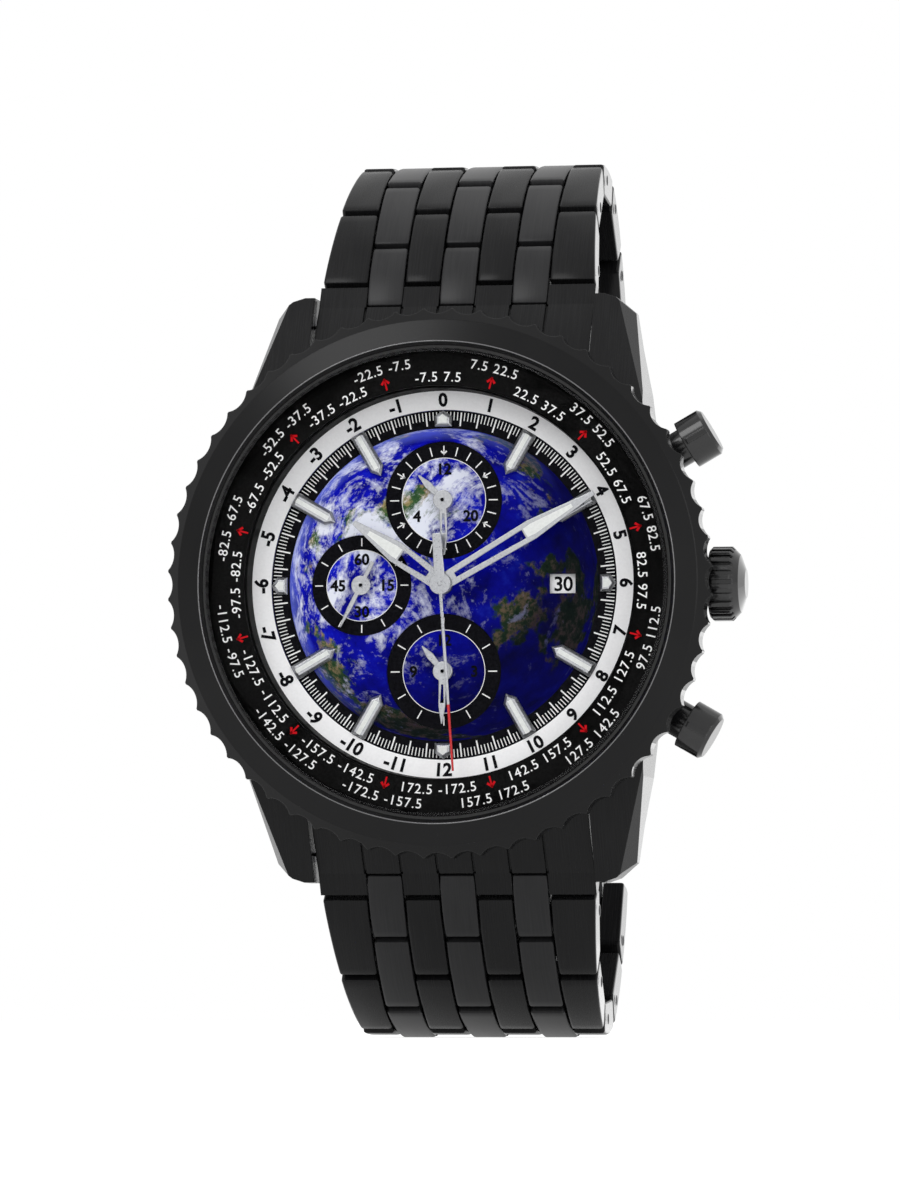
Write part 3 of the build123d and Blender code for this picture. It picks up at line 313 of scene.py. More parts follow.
# The planet's colours, each at its place on its noise
SEA_COLOURS = ((0.32, (0.001, 0.001, 0.17)), (0.55, (0.003, 0.005, 0.5)), (0.78, (0.02, 0.06, 0.85)))
LAND_COLOURS = (
    (0.3, (0.01, 0.04, 0.022)),
    (0.48, (0.05, 0.12, 0.04)),
    (0.6, (0.42, 0.3, 0.14)),
    (0.75, (0.3, 0.11, 0.05)),
)
COAST_STEP = ((0.535, BLACK), (0.56, WHITE))
CLOUD_STEP = ((0.48, BLACK), (0.58, WHITE))
CLOUD_COLOUR = (0.84, 0.87, 0.98)
DAYLIGHT = ((0.0, (0.06, 0.06, 0.14)), (0.42, (0.42, 0.42, 0.52)), (0.8, WHITE))
HAZE_STEP = ((0.85, BLACK), (0.98, (0.6, 0.6, 0.6)))
HAZE_COLOUR = (0.2, 0.26, 0.85)

# Finishes by node. Hands are silver, odd link rows satin and everything else plain black steel
NODE_FINISHES = {
    "black_bezel": ("bezel",),
    "black_turned": ("case_back",),
    "black_polished": (
        "crown",
        "pusher_2",
        "pusher_4",
        "case_tubes",
        "clasp_button_left",
        "clasp_button_right",
    ),
    "bright_steel": ("battery", "winding_stem", "spring_bars", "pusher_spring_2", "pusher_spring_4"),
    "plated_brass": ("movement",),
    "silver_plate": ("hour_markers",),
    "seal_rubber": ("case_back_gasket", "crystal_gasket", "crown_gasket"),
    "holder_plastic": ("movement_holder",),
    "dial_blue": ("dial",),
    "white_lacquer": ("date_disc", "hour_ring"),
    "black_lacquer": ("place_ring",),
    "crystal_glass": ("crystal",),
}

# Studio: the surroundings' light on the object, the floor, and each lamp's place, diameter and power
WORLD_LIGHT = 0.95
FLOOR_REACH = 3.0
FLOOR_TONE = (0.5, 0.5, 0.5, 1)
FLOOR_GLOW = 0.72
LAMPS = {
    "key": ((-0.22, -0.42, 0.42), 0.3, 0.9),
    "fill": ((0.4, -0.35, 0.1), 0.3, 0.5),
    "top": ((0.05, 0.12, 0.5), 0.35, 0.15),
}

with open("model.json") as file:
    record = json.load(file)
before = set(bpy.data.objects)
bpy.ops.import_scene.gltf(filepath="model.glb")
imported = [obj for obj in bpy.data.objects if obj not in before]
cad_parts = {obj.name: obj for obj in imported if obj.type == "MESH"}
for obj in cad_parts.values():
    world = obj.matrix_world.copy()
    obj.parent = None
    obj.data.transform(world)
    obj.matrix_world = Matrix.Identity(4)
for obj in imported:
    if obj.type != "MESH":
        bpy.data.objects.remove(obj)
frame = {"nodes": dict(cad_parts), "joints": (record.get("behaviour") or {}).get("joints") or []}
cad_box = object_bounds()
nodes = frame["nodes"]


# Node graph helpers
def new_material(name):
    """An empty material with its output and a Principled shader."""
    material = bpy.data.materials.new(name)
    material.use_nodes = True
    tree = material.node_tree
    tree.nodes.clear()
    shader = tree.nodes.new("ShaderNodeBsdfPrincipled")
    output = tree.nodes.new("ShaderNodeOutputMaterial")
    tree.links.new(shader.outputs["BSDF"], output.inputs["Surface"])
    return material, tree, shader


def add(tree, kind, inputs=(), **settings):
    """A node whose inputs are values or the sockets that feed them."""
    made = tree.nodes.new(kind)
    for key, value in settings.items():
        setattr(made, key, value)
    for key, value in dict(inputs).items():
        if isinstance(value, bpy.types.NodeSocket):
            tree.links.new(value, made.inputs[key])
        else:
            made.inputs[key].default_value = value
    return made


def math_node(tree, operation, first, second=0.0):
    """The result of one sum on values or sockets."""
    return add(tree, "ShaderNodeMath", {0: first, 1: second}, operation=operation).outputs[0]


def weighted(tree, first, share, second):
    """The share of the first value plus the rest of the second."""
    first_part = math_node(tree, "MULTIPLY", first, share)
    return math_node(tree, "ADD", first_part, math_node(tree, "MULTIPLY", second, 1 - share))


def ramp(tree, factor, stops):
    """A colour ramp from (place, colour) stops."""
    made = add(tree, "ShaderNodeValToRGB", {"Fac": factor})
    elements = made.color_ramp.elements
    midway = 0.5
    while len(elements) < len(stops):
        elements.new(midway)
    for element, (place, colour) in zip(elements, stops):
        element.position = place
        element.color = (*colour, 1)
    return made.outputs["Color"]


def toned(tree, factor, tones):
    """The darkest tone where the factor is low, the lightest where it is high."""
    return ramp(tree, factor, list(zip(TONE_PLACES, tones)))


def mix(tree, factor, first, second, blend="MIX"):
    """The second colour blended over the first."""
    made = add(tree, "ShaderNodeMix", data_type="RGBA", blend_type=blend)
    for index, value in zip(MIX_INPUTS, (factor, first, second)):
        socket = made.inputs[index]
        if isinstance(value, bpy.types.NodeSocket):
            tree.links.new(value, socket)
        else:
            socket.default_value = (*value, 1) if isinstance(value, tuple) else value
    return made.outputs[MIX_RESULT]


def place_vector(tree, scale=(1, 1, 1)):
    """The surface point in the part's frame, with each axis scaled."""
    place = add(tree, "ShaderNodeTexCoord").outputs["Object"]
    return add(tree, "ShaderNodeMapping", {"Vector": place, "Scale": scale}).outputs["Vector"]


def noise(tree, vector, scale=1.0, detail=4.0, roughness=0.55, distortion=0.0):
    """A noise value at a place."""
    pattern = {"Scale": scale, "Detail": detail, "Roughness": roughness, "Distortion": distortion}
    return add(tree, "ShaderNodeTexNoise", {"Vector": vector, **pattern}).outputs["Fac"]


def range_of(tree, value, low, high):
    """A 0 to 1 value moved to the range from low to high."""
    values = {"Value": value, "To Min": low, "To Max": high}
    return add(tree, "ShaderNodeMapRange", values).outputs["Result"]


def axis_distance(tree):
    """How far the surface point is from the hands' axis."""
    axes = add(tree, "ShaderNodeSeparateXYZ", {0: place_vector(tree)})
    squares = [math_node(tree, "POWER", axes.outputs[axis], 2.0) for axis in ("X", "Z")]
    return math_node(tree, "SQRT", math_node(tree, "ADD", *squares))


def relief(tree, shader, height, distance, rounded=True):
    """A bump, over edges rounded to the bevel radius unless rounded is off."""
    values = {"Height": height, "Distance": distance, "Strength": 1.0}
    if rounded:
        bevel = add(tree, "ShaderNodeBevel", {"Radius": BEVEL_RADIUS}, samples=BEVEL_SAMPLES)
        values["Normal"] = bevel.outputs["Normal"]
    bump = add(tree, "ShaderNodeBump", values)
    tree.links.new(bump.outputs["Normal"], shader.inputs["Normal"])


# Materials
def grain_pattern(tree, grain):
    """The surface point in repeats of the grain, which is rings round the hands' axis if grain is None."""
    if grain:
        return place_vector(tree, grain)
    rings = math_node(tree, "MULTIPLY", axis_distance(tree), GRAIN_ACROSS)
    return add(tree, "ShaderNodeCombineXYZ", {"X": rings}).outputs[0]


def metal(name, tones, roughness, grain=None, metallic=1.0, depth=GRAIN_DEPTH):
    """Metal with fine grain."""
    material, tree, shader = new_material(name)
    fine = noise(tree, grain_pattern(tree, grain), detail=3)
    cloudy = noise(tree, place_vector(tree, CLOUDY_PATTERN), detail=2)
    worn = weighted(tree, fine, GRAIN_SHARE, cloudy)
    tree.links.new(toned(tree, worn, tones), shader.inputs["Base Color"])
    tree.links.new(range_of(tree, worn, *roughness), shader.inputs["Roughness"])
    shader.inputs["Metallic"].default_value = metallic
    relief(tree, shader, fine, depth)
    return material, shader


def black_steel(name, grain, roughness=(0.2, 0.34), tone=1.0, index=1.36, depth=GRAIN_DEPTH):
    """Black coated steel with a hard clear sheen. Faces towards +X or -X are polished."""
    tones = [tuple(part * tone for part in colour) for colour in STEEL_TONES]
    material, shader = metal(name, tones, roughness, grain, metallic=0.0, depth=depth)
    shader.inputs["IOR"].default_value = index
    tree = material.node_tree
    normal = add(tree, "ShaderNodeTexCoord").outputs["Normal"]
    facing = add(tree, "ShaderNodeSeparateXYZ", {0: normal}).outputs["X"]
    side = math_node(tree, "GREATER_THAN", math_node(tree, "ABSOLUTE", facing), SIDE_FACING)
    tree.links.new(side, shader.inputs["Coat Weight"])
    shader.inputs["Coat Roughness"].default_value = COAT_ROUGHNESS
    shader.inputs["Coat IOR"].default_value = COAT_INDEX
    return material


def lacquer(name, tones, roughness=(0.35, 0.5), index=1.45):
    """Satin lacquer or plastic with a faint orange-peel surface."""
    material, tree, shader = new_material(name)
    shader.inputs["IOR"].default_value = index
    skin = noise(tree, place_vector(tree, SKIN_PATTERN), detail=2)
    tree.links.new(toned(tree, skin, tones), shader.inputs["Base Color"])
    tree.links.new(range_of(tree, skin, *roughness), shader.inputs["Roughness"])
    relief(tree, shader, skin, FINE_DEPTH, rounded=False)
    return material


def glass():
    """Clear crystal that shows as a faint sheen, with its bevelled edge made more opaque to paint a faint
    highlight line along it.
    """
    material, tree, shader = new_material("crystal_glass")
    smear = noise(tree, place_vector(tree, SMEAR_PATTERN), detail=2)
    tree.links.new(range_of(tree, smear, *GLASS_ROUGHNESS), shader.inputs["Roughness"])
    # The bevelled edge is made more opaque: a painted highlight line along the crystal's rim.
    edge = math_node(tree, "GREATER_THAN", axis_distance(tree), CRYSTAL_EDGE)
    facing = add(tree, "ShaderNodeLayerWeight", {"Blend": 0.5}).outputs["Facing"]
    sheen = ramp(tree, facing, GLASS_SHEEN)
    shown = math_node(tree, "MAXIMUM", sheen, math_node(tree, "MULTIPLY", edge, GLASS_EDGE_HIGHLIGHT))
    tree.links.new(shown, shader.inputs["Alpha"])
    shader.inputs["Base Color"].default_value = GLASS_TINT
    shader.inputs["IOR"].default_value = GLASS_INDEX
    return material


def globe_places(tree):
    """The dial's points as points on a unit globe, and the square of their distance from its middle."""
    dial_share = 1 / MINUTE_RING_INNER
    place = place_vector(tree, (dial_share, dial_share, dial_share))
    axes = add(tree, "ShaderNodeSeparateXYZ", {0: place})
    across, up = axes.outputs["X"], axes.outputs["Z"]
    across_squared = math_node(tree, "MULTIPLY", across, across)
    reach = math_node(tree, "ADD", across_squared, math_node(tree, "MULTIPLY", up, up))
    left_over = math_node(tree, "MAXIMUM", math_node(tree, "SUBTRACT", 1.0, reach), PLANET_LEAST_DEPTH)
    depth = math_node(tree, "SQRT", left_over)
    return add(tree, "ShaderNodeCombineXYZ", {"X": across, "Y": depth, "Z": up}).outputs[0], reach


def planet_ground(tree, place):
    """Seas and lands."""
    sea = ramp(tree, noise(tree, place, *SEA_NOISE), SEA_COLOURS)
    land = ramp(tree, noise(tree, place, *LAND_NOISE), LAND_COLOURS)
    coast = ramp(tree, noise(tree, place, *COAST_NOISE), COAST_STEP)
    return mix(tree, coast, sea, land)


def planet():
    """The dial's picture: a made-up blue planet with its own lands and clouds, lit from the left."""
    material, tree, shader = new_material("planet_dial")
    globe, reach = globe_places(tree)
    values = {"Vector": globe, "Rotation": PLANET_TURN, "Location": PLANET_PLACE}
    place = add(tree, "ShaderNodeMapping", values).outputs["Vector"]
    ground = planet_ground(tree, place)
    swirl = noise(tree, place, *SWIRL_NOISE)
    wisps = noise(tree, place, *WISP_NOISE)
    dot = add(tree, "ShaderNodeVectorMath", {0: globe, 1: PLANET_LIGHT}, operation="DOT_PRODUCT")
    toward_light = dot.outputs["Value"]
    torn = weighted(tree, swirl, SWIRL_SHARE, wisps)
    gathered = math_node(tree, "ADD", torn, range_of(tree, toward_light, *CLOUD_GATHERING))
    clouded = mix(tree, ramp(tree, gathered, CLOUD_STEP), ground, CLOUD_COLOUR)
    lit = mix(tree, 1.0, clouded, ramp(tree, toward_light, DAYLIGHT), "MULTIPLY")
    haze = math_node(tree, "MULTIPLY", ramp(tree, reach, HAZE_STEP), toward_light)
    tree.links.new(mix(tree, haze, lit, HAZE_COLOUR), shader.inputs["Base Color"])
    shader.inputs["IOR"].default_value = PRINT_INDEX
    tree.links.new(range_of(tree, wisps, *PLANET_ROUGHNESS), shader.inputs["Roughness"])
    relief(tree, shader, wisps, PLANET_RELIEF, rounded=False)
    return material


def make_materials():
    """Every finish by name."""
    made = {name: black_steel(name, **settings) for name, settings in BLACK_STEELS.items()}
    made |= {name: lacquer(name, **settings) for name, settings in LACQUERS.items()}
    made |= {name: metal(name, **settings)[0] for name, settings in BARE_METALS.items()}
    made["dial_blue"] = planet()
    made["crystal_glass"] = glass()
    return made


def is_link(name):
    """Whether a node is one of the bracelet's link rows."""
    return "_link_" in name


def row_number(name):
    """A link row's number, the last two digits of its name."""
    return int(name[-2:])


def finish_of(name):
    """The material name for one CAD node."""
    for finish, names in NODE_FINISHES.items():
        if name in names:
            return finish
    if name.endswith("_hand"):
        return "silver_plate"
    if is_link(name) and row_number(name) % 2:
        return "black_satin"
    return "black_steel"


def dress_nodes(materials):
    """Every node's finish, and rounded edges on the link rows."""
    for name, node in nodes.items():
        node.data.materials.clear()
        node.data.materials.append(materials[finish_of(name)])
        if is_link(name):
            joined = node.modifiers.new("joined", "WELD")
            joined.merge_threshold = WELD_REACH
            rounding = node.modifiers.new("edges", "BEVEL")
            rounding.width = LINK_EDGE
            rounding.segments = LINK_EDGE_STEPS
            rounding.limit_method = "ANGLE"
            rounding.angle_limit = math.radians(LINK_EDGE_ANGLE)


# Flat shapes on the dial: a shape is (points, faces), its points (right, up) seen from the front
def polar(clock, distance):
    """The point (right, up) at a clock angle and distance."""
    turn = math.radians(clock)
    return distance * math.sin(turn), distance * math.cos(turn)


def outline(points):
    """A shape of one face."""
    return list(points), [tuple(range(len(points)))]


def moved(shape, clock=0.0, centre=(0.0, 0.0)):
    """The shape turned clockwise about the origin and then moved to centre."""
    turn = math.radians(clock)
    cosine, sine = math.cos(turn), math.sin(turn)
    points = [(centre[0] + x * cosine + y * sine, centre[1] - x * sine + y * cosine) for x, y in shape[0]]
    return points, shape[1]


def bar(inner, outer, width, clock, centre=(0.0, 0.0)):
    """A straight bar along the radius at a clock angle."""
    half = width / 2
    return moved(outline([(-half, inner), (half, inner), (half, outer), (-half, outer)]), clock, centre)


def annulus(inner, outer, centre=(0.0, 0.0), steps=RING_STEPS):
    """A flat ring of four-sided faces."""
    points = [
        (centre[0] + x, centre[1] + y)
        for index in range(steps)
        for x, y in (polar(FULL_TURN * index / steps, inner), polar(FULL_TURN * index / steps, outer))
    ]
    faces = []
    for index in range(steps):
        following = (index + 1) % steps
        faces.append((2 * index, 2 * following, 2 * following + 1, 2 * index + 1))
    return points, faces


def arrow(start, end, head, line, clock, centre=(0.0, 0.0)):
    """A thin shaft with two open barbs at its end, pointing from start to end along the radius."""
    forward = 1 if end > start else -1
    barb, step = head * forward, line * forward
    shaft = [(-line / 2, start), (line / 2, start), (line / 2, end), (-line / 2, end)]
    notch = (0, end - step * ARROW_NOTCH_SHARE)
    left = [(0, end), (-head, end - barb), (-head + line, end - barb - step), notch]
    right = [(-x, y) for x, y in reversed(left)]
    sides = (shaft, left, right)
    if forward < 0:
        sides = [list(reversed(side)) for side in sides]
    return [moved(outline(side), clock, centre) for side in sides]


def glyphs(text, size, spacing=1.0, weight=0.0):
    """The filled outline of a text, centred on the origin. weight, a share of size, thickens it."""
    curve = bpy.data.curves.new("text", "FONT")
    curve.body = text
    curve.size = size
    curve.space_character = spacing
    curve.align_x = "CENTER"
    curve.align_y = "CENTER"
    curve.resolution_u = TEXT_STEPS
    curve.offset = weight * size
    holder = bpy.data.objects.new("text", curve)
    bpy.context.scene.collection.objects.link(holder)
    graph = bpy.context.evaluated_depsgraph_get()
    mesh = bpy.data.meshes.new_from_object(holder.evaluated_get(graph))
    points = [(vertex.co.x, vertex.co.y) for vertex in mesh.vertices]
    faces = [tuple(polygon.vertices) for polygon in mesh.polygons]
    bpy.data.objects.remove(holder)
    bpy.data.curves.remove(curve)
    bpy.data.meshes.remove(mesh)
    heights = [y for _, y in points]
    middle = (min(heights) + max(heights)) / 2
    return [(x, y - middle) for x, y in points], faces


def on_arc(shape, radius, clock, inward=False):
    """Text bent along a circle, its tops away from the hands' axis or, if inward, towards it."""
    side = -1 if inward else 1
    points = [polar(clock + side * math.degrees(x / radius), radius + side * y) for x, y in shape[0]]
    return points, shape[1]


# Pieces
def new_piece(name, points, faces, piece_materials):
    """A mesh object in the scene."""
    mesh = bpy.data.meshes.new(name)
    mesh.from_pydata(points, [], faces)
    for material in piece_materials:
        mesh.materials.append(material)
    piece = bpy.data.objects.new(name, mesh)
    bpy.context.scene.collection.objects.link(piece)
    return piece


def print_piece(name, shapes, height, materials, finish, body):
    """A printed or painted layer that rides on a body. height is its level at a distance from the axis."""
    points, faces = [], []
    for shape_points, shape_faces in shapes:
        start = len(points)
        points += [(x, -height(math.hypot(x, y)), y) for x, y in shape_points]
        faces += [tuple(start + index for index in face) for face in shape_faces]
    piece = new_piece(name, points, faces, [materials[finish]])
    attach(piece, body)


def level_of(node, lift=PRINT_LIFT):
    """The height function of a flat node's front face."""
    height = -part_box(node)[0].y + lift
    return lambda distance: height


def hour_ring_level(distance):
    """The white ring's slope, from its foot at the dial up to its crest."""
    (foot_radius, foot), (crest_radius, crest) = HOUR_RING_FOOT, HOUR_RING_CREST
    share = (distance - foot_radius) / (crest_radius - foot_radius)
    return foot + share * (crest - foot) + PAINT_LIFT


def turned_ring(name, profile, side_materials, body, smooth=False):
    """A closed (distance, height) profile turned round the hands' axis.

    The profile's first side takes the first material and the other sides the last.
    """
    sides = len(profile)
    points, faces = [], []
    for index in range(TURNED_STEPS):
        for distance, height in profile:
            x, z = polar(FULL_TURN * index / TURNED_STEPS, distance)
            points.append((x, -height, z))
        here, there = index * sides, (index + 1) % TURNED_STEPS * sides
        for side in range(sides):
            following = (side + 1) % sides
            faces.append((here + side, there + side, there + following, here + following))
    piece = new_piece(name, points, faces, side_materials)
    for number, polygon in enumerate(piece.data.polygons):
        polygon.material_index = min(number % sides, len(side_materials) - 1)
        polygon.use_smooth = smooth
    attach(piece, body)
    return piece


def hour_ring(materials):
    """The white ring lies nearly flat and meets the place ring at a black wall."""
    profile = (HOUR_RING_FOOT, HOUR_RING_CREST, *HOUR_RING_WALL)
    white_and_black = (materials["white_lacquer"], materials["black_lacquer"])
    piece = turned_ring("hour_ring_turned", profile, white_and_black, "case")
    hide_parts("hour_ring")


def bezel_bead(materials):
    """A thin polished bead along the bezel's crest, in a lighter steel that paints a highlight line there.
    """
    distance, height, radius = BEZEL_BEAD
    circle = [polar(FULL_TURN * step / BEAD_SIDES, radius) for step in range(BEAD_SIDES)]
    profile = [(distance + outward, height + forward) for forward, outward in circle]
    turned_ring("bezel_bead", profile, [materials["bead_highlight_steel"]], "bezel", smooth=True)


# Print on the dial plate
def minute_track(materials):
    """A black ring with five ticks to the minute, the whole minutes longer and wider."""
    ring = [annulus(MINUTE_RING_INNER, MINUTE_RING_OUTER)]
    print_piece("minute_ring", ring, level_of("dial"), materials, "black_print", "case")
    ticks = []
    count = MINUTES * TICKS_PER_MINUTE
    for index in range(count):
        whole = index % TICKS_PER_MINUTE == 0
        length = LONG_TICK if whole else SHORT_TICK
        width = LONG_TICK_WIDTH if whole else SHORT_TICK_WIDTH
        ticks.append(bar(TICK_OUTER - length, TICK_OUTER, width, FULL_TURN * index / count))
    level = level_of("dial", PAINT_LIFT)
    print_piece("minute_ticks", ticks, level, materials, "white_print", "case")


def sub_dial(name, place, materials, arrows=False):
    """The black ring, white ticks and black numerals of one sunk sub-dial."""
    centre = polar(place["clock"], place["distance"])
    ring_level = level_of("dial", PRINT_LIFT - SUB_DIAL_SINK)
    mark_level = level_of("dial", PAINT_LIFT - SUB_DIAL_SINK)
    ring = [annulus(place["disc"], place["edge"], centre, SUB_RING_STEPS)]
    print_piece(f"{name}_ring", ring, ring_level, materials, "black_print", "case")
    count, inner, outer = place["ticks"]
    marks = [annulus(place["disc"] - RIM_LINE_WIDTH, place["disc"], centre, SUB_RING_STEPS)]
    for index in range(count):
        clock = FULL_TURN * index / count
        if arrows and index % TICKS_PER_ARROW == 0:
            marks += arrow(outer, inner, SMALL_ARROW_HEAD, SUB_TICK_WIDTH, clock, centre)
        else:
            marks.append(bar(inner, outer, SUB_TICK_WIDTH, clock, centre))
    print_piece(f"{name}_marks", marks, mark_level, materials, "white_print", "case")
    figures = []
    for text, clock, distance in place["numerals"]:
        x, y = polar(clock, distance)
        figure = glyphs(text, SUB_NUMERAL_SIZE, weight=SUB_NUMERAL_WEIGHT)
        figures.append(moved(figure, centre=(centre[0] + x, centre[1] + y)))
    print_piece(f"{name}_numerals", figures, mark_level, materials, "black_print", "case")


def sub_dials(materials):
    """Local time at the top, small seconds at the left, the counter at the bottom."""
    sub_dial("top_dial", TOP_DIAL, materials, arrows=True)
    sub_dial("left_dial", LEFT_DIAL, materials)
    sub_dial("bottom_dial", BOTTOM_DIAL, materials)


def date_numbers(materials):
    """All the numbers of the date disc, upright as they pass the window."""
    numbers = []
    for number in range(1, DATE_COUNT + 1):
        turn = FULL_TURN * (number - DATE_SHOWN) / DATE_COUNT
        figure = glyphs(str(number), DATE_SIZE, DATE_LETTER_SPACING, DATE_WEIGHT)
        numbers.append(moved(moved(figure, centre=(DATE_RADIUS, 0.0)), turn))
    print_piece("date_numbers", numbers, level_of("date_disc"), materials, "black_print", "date_disc")


# Print on the rings
def hour_ring_numerals(materials):
    """0 at the top, 1 to 11 clockwise, -1 to -11 the other way and 12 at the bottom."""
    numerals = []
    for hour in HOURS:
        figure = glyphs(str(hour), HOUR_NUMERAL_SIZE, weight=HOUR_NUMERAL_WEIGHT)
        inward = abs(hour) > LAST_UPRIGHT_HOUR
        numerals.append(on_arc(figure, HOUR_NUMERAL_RADIUS, ZONE_WIDTH_DEGREES * hour, inward))
    print_piece("hour_numerals", numerals, hour_ring_level, materials, "black_print", "case")


def zone_text(hour):
    """The longitudes that bound one hour's zone, in degrees."""
    half = ZONE_WIDTH_DEGREES / 2
    west, east = hour * ZONE_WIDTH_DEGREES - half, hour * ZONE_WIDTH_DEGREES + half
    return f"{west:.1f} {east if east < HALF_TURN else east - FULL_TURN:.1f}"


def place_ring_print(materials):
    """Zone longitudes in two rows, even hours inside and odd outside, with a red arrow to each odd one."""
    level = level_of("place_ring")
    numbers, arrows = [], []
    for hour in HOURS:
        clock = ZONE_WIDTH_DEGREES * hour
        odd = hour % 2 == 1
        row = ZONE_OUTER_ROW if odd else ZONE_INNER_ROW
        text = glyphs(zone_text(hour), ZONE_TEXT_SIZE, ZONE_LETTER_SPACING, ZONE_TEXT_WEIGHT)
        numbers.append(on_arc(text, row, clock, abs(hour) > LAST_UPRIGHT_HOUR))
        if odd:
            arrows += arrow(*ARROW_RADII, ARROW_HEAD, ARROW_LINE, clock)
    print_piece("zone_numbers", numbers, level, materials, "white_print", "bezel")
    print_piece("zone_arrows", arrows, level, materials, "red_print", "bezel")


# Luminous fill on the hands and markers, and the sweep hand's red end
def hand_fill(name, node, fill_shape, materials):
    """A hand's luminous fill, as wide at each station as given."""
    clock, *stations = fill_shape
    right = [(half, along) for along, half in stations]
    left = [(-x, y) for x, y in reversed(right)]
    fill = moved(outline(right + left), clock)
    print_piece(name, [fill], level_of(node, PAINT_LIFT), materials, "lume", node)


def hub_dots(materials):
    """A small dark dot in the middle of the uppermost hand on each sub-dial arbor."""
    for node, place in HUBS.items():
        centre = polar(place["clock"], place["distance"])
        dot = annulus(0.0, HUB_DOT_RADIUS, centre, DOT_STEPS)
        print_piece(f"{node}_dot", [dot], level_of(node), materials, "black_print", node)


def marker_fill(materials):
    """A white stripe along the top of each baton, and a white house on each small marker."""
    baton_clocks = [clock for clock in range(0, FULL_TURN, CLOCK_HOUR) if clock % QUARTER_TURN]
    fills = [bar(*BATON_FILL, BATON_FILL_WIDTH, clock) for clock in baton_clocks]
    foot, shoulder, tip = HOUSE_FILL
    half = HOUSE_FILL_HALF_WIDTH
    house = outline([(-half, foot), (half, foot), (half, shoulder), (0, tip), (-half, shoulder)])
    fills += [moved(house, clock) for clock in range(0, FULL_TURN, QUARTER_TURN)]
    print_piece("marker_fill", fills, level_of("hour_markers"), materials, "lume", "case")


def red_hand_end():
    """The sweep hand's material turns red from its painted start outwards."""
    material, shader = metal("sweep_hand", **SILVER)
    tree = material.node_tree
    painted = math_node(tree, "GREATER_THAN", axis_distance(tree), SWEEP_PAINT_START)
    plain = shader.inputs["Base Color"].links[0].from_socket
    tree.links.new(mix(tree, painted, plain, HAND_RED), shader.inputs["Base Color"])
    tree.links.new(math_node(tree, "SUBTRACT", 1.0, painted), shader.inputs["Metallic"])
    nodes["sweep_hand"].data.materials.clear()
    nodes["sweep_hand"].data.materials.append(material)


# Wound and ring pieces inside the controls
def ring_room(name, axis):
    """A CAD ring's centre, its mean radius about the axis and its half length along it."""
    low, high = [Vector(corner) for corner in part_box(name)]
    centre = (low + high) / 2
    offsets = [vertex.co - centre for vertex in nodes[name].data.vertices]
    spans = [(offset - axis * offset.dot(axis)).length for offset in offsets]
    return centre, (min(spans) + max(spans)) / 2, max(offset.dot(axis) for offset in offsets)


def wire_faces(stations, closed):
    """The faces round a wire's stations, with a cap at each end of an open one."""
    faces = []
    for index in range(stations if closed else stations - 1):
        here, there = index * WIRE_SIDES, (index + 1) % stations * WIRE_SIDES
        for side in range(WIRE_SIDES):
            following = (side + 1) % WIRE_SIDES
            faces.append((here + side, here + following, there + following, there + side))
    if not closed:
        last = (stations - 1) * WIRE_SIDES
        faces += [tuple(reversed(range(WIRE_SIDES))), tuple(range(last, last + WIRE_SIDES))]
    return faces


def wound(name, node, direction, turns, wire, materials, slot):
    """A round wire in the room of a CAD ring about direction: a helix, or one closed loop if turns is 1.

    Gives the piece and the middle of its low end. Its finish has the slot's name.
    """
    axis = Vector(direction).normalized()
    centre, middle, half_length = ring_room(node, axis)
    closed = turns == 1
    reach = 0.0 if closed else half_length - wire
    across = axis.orthogonal().normalized()
    upward = axis.cross(across)
    steps = WOUND_STEPS * turns
    stations = steps if closed else steps + 1
    points = []
    for index in range(stations):
        turn = math.tau * turns * index / steps
        outward = across * math.cos(turn) + upward * math.sin(turn)
        station = centre + outward * middle + axis * reach * (2 * index / steps - 1)
        for side in range(WIRE_SIDES):
            about = math.tau * side / WIRE_SIDES
            points.append(station + (outward * math.cos(about) + axis * math.sin(about)) * wire)
    piece = new_piece(name, points, wire_faces(stations, closed), [materials[slot]])
    for polygon in piece.data.polygons:
        polygon.use_smooth = True
    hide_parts(node)
    return piece, centre - axis * (reach + wire)


def pusher_springs(materials):
    """Each pusher's spring as a wound coil, carried by the case."""
    for clock in PUSHER_CLOCKS:
        x, z = polar(CLOCK_HOUR * clock, 1.0)
        node, axis = f"pusher_spring_{clock}", (x, 0, z)
        coil = f"{node}_coil"
        piece, foot = wound(coil, node, axis, SPRING_TURNS, SPRING_WIRE, materials, "bright_steel")
        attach(piece, "case")
        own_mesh(piece)


def crown_seal(materials):
    """A round seal ring in the crown's bore."""
    piece, _ = wound("crown_seal", "crown_gasket", (1, 0, 0), 1, SEAL_WIRE, materials, "seal_rubber")
    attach(piece, "crown_slider")


# Bracelet
def side_face(name, place):
    """How far along +X a link's outer side face stands near a place."""
    corners = [vertex.co for vertex in nodes[name].data.vertices]
    return max(corner.x for corner in corners if (corner.yz - place).length < PIN_FACE_REACH)


def pin_holes(materials):
    """A flat black disc of painted shade for a hinge pin's opening in each outer link's crown-side face,
    at its end towards the case.
    """
    rings = (
        # Each pin opening is a flat black disc of painted shade, with a polished rim round it.
        ("hole_shade", 0.0, PIN_HOLE_RADIUS, "black_print", "black_lacquer"),
        ("rim", PIN_HOLE_RADIUS, PIN_HOLE_RADIUS + PIN_RIM_WIDTH, "black_polished", "black_steel"),
    )
    for joint in frame["joints"]:
        name = joint["child"]
        if not is_link(name) or row_number(name) % 2:
            continue
        _, y, z = joint["pos_m"]
        side = side_face(name, Vector((y, z))) + PIN_SIDE_LIFT
        for part, inner, outer, finish, slot in rings:
            flat, faces = annulus(inner, outer, (y, z), DOT_STEPS)
            points = [(side, across, up) for across, up in flat]
            piece = new_piece(f"{name}_{part}", points, faces, [materials[finish]])
            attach(piece, name)


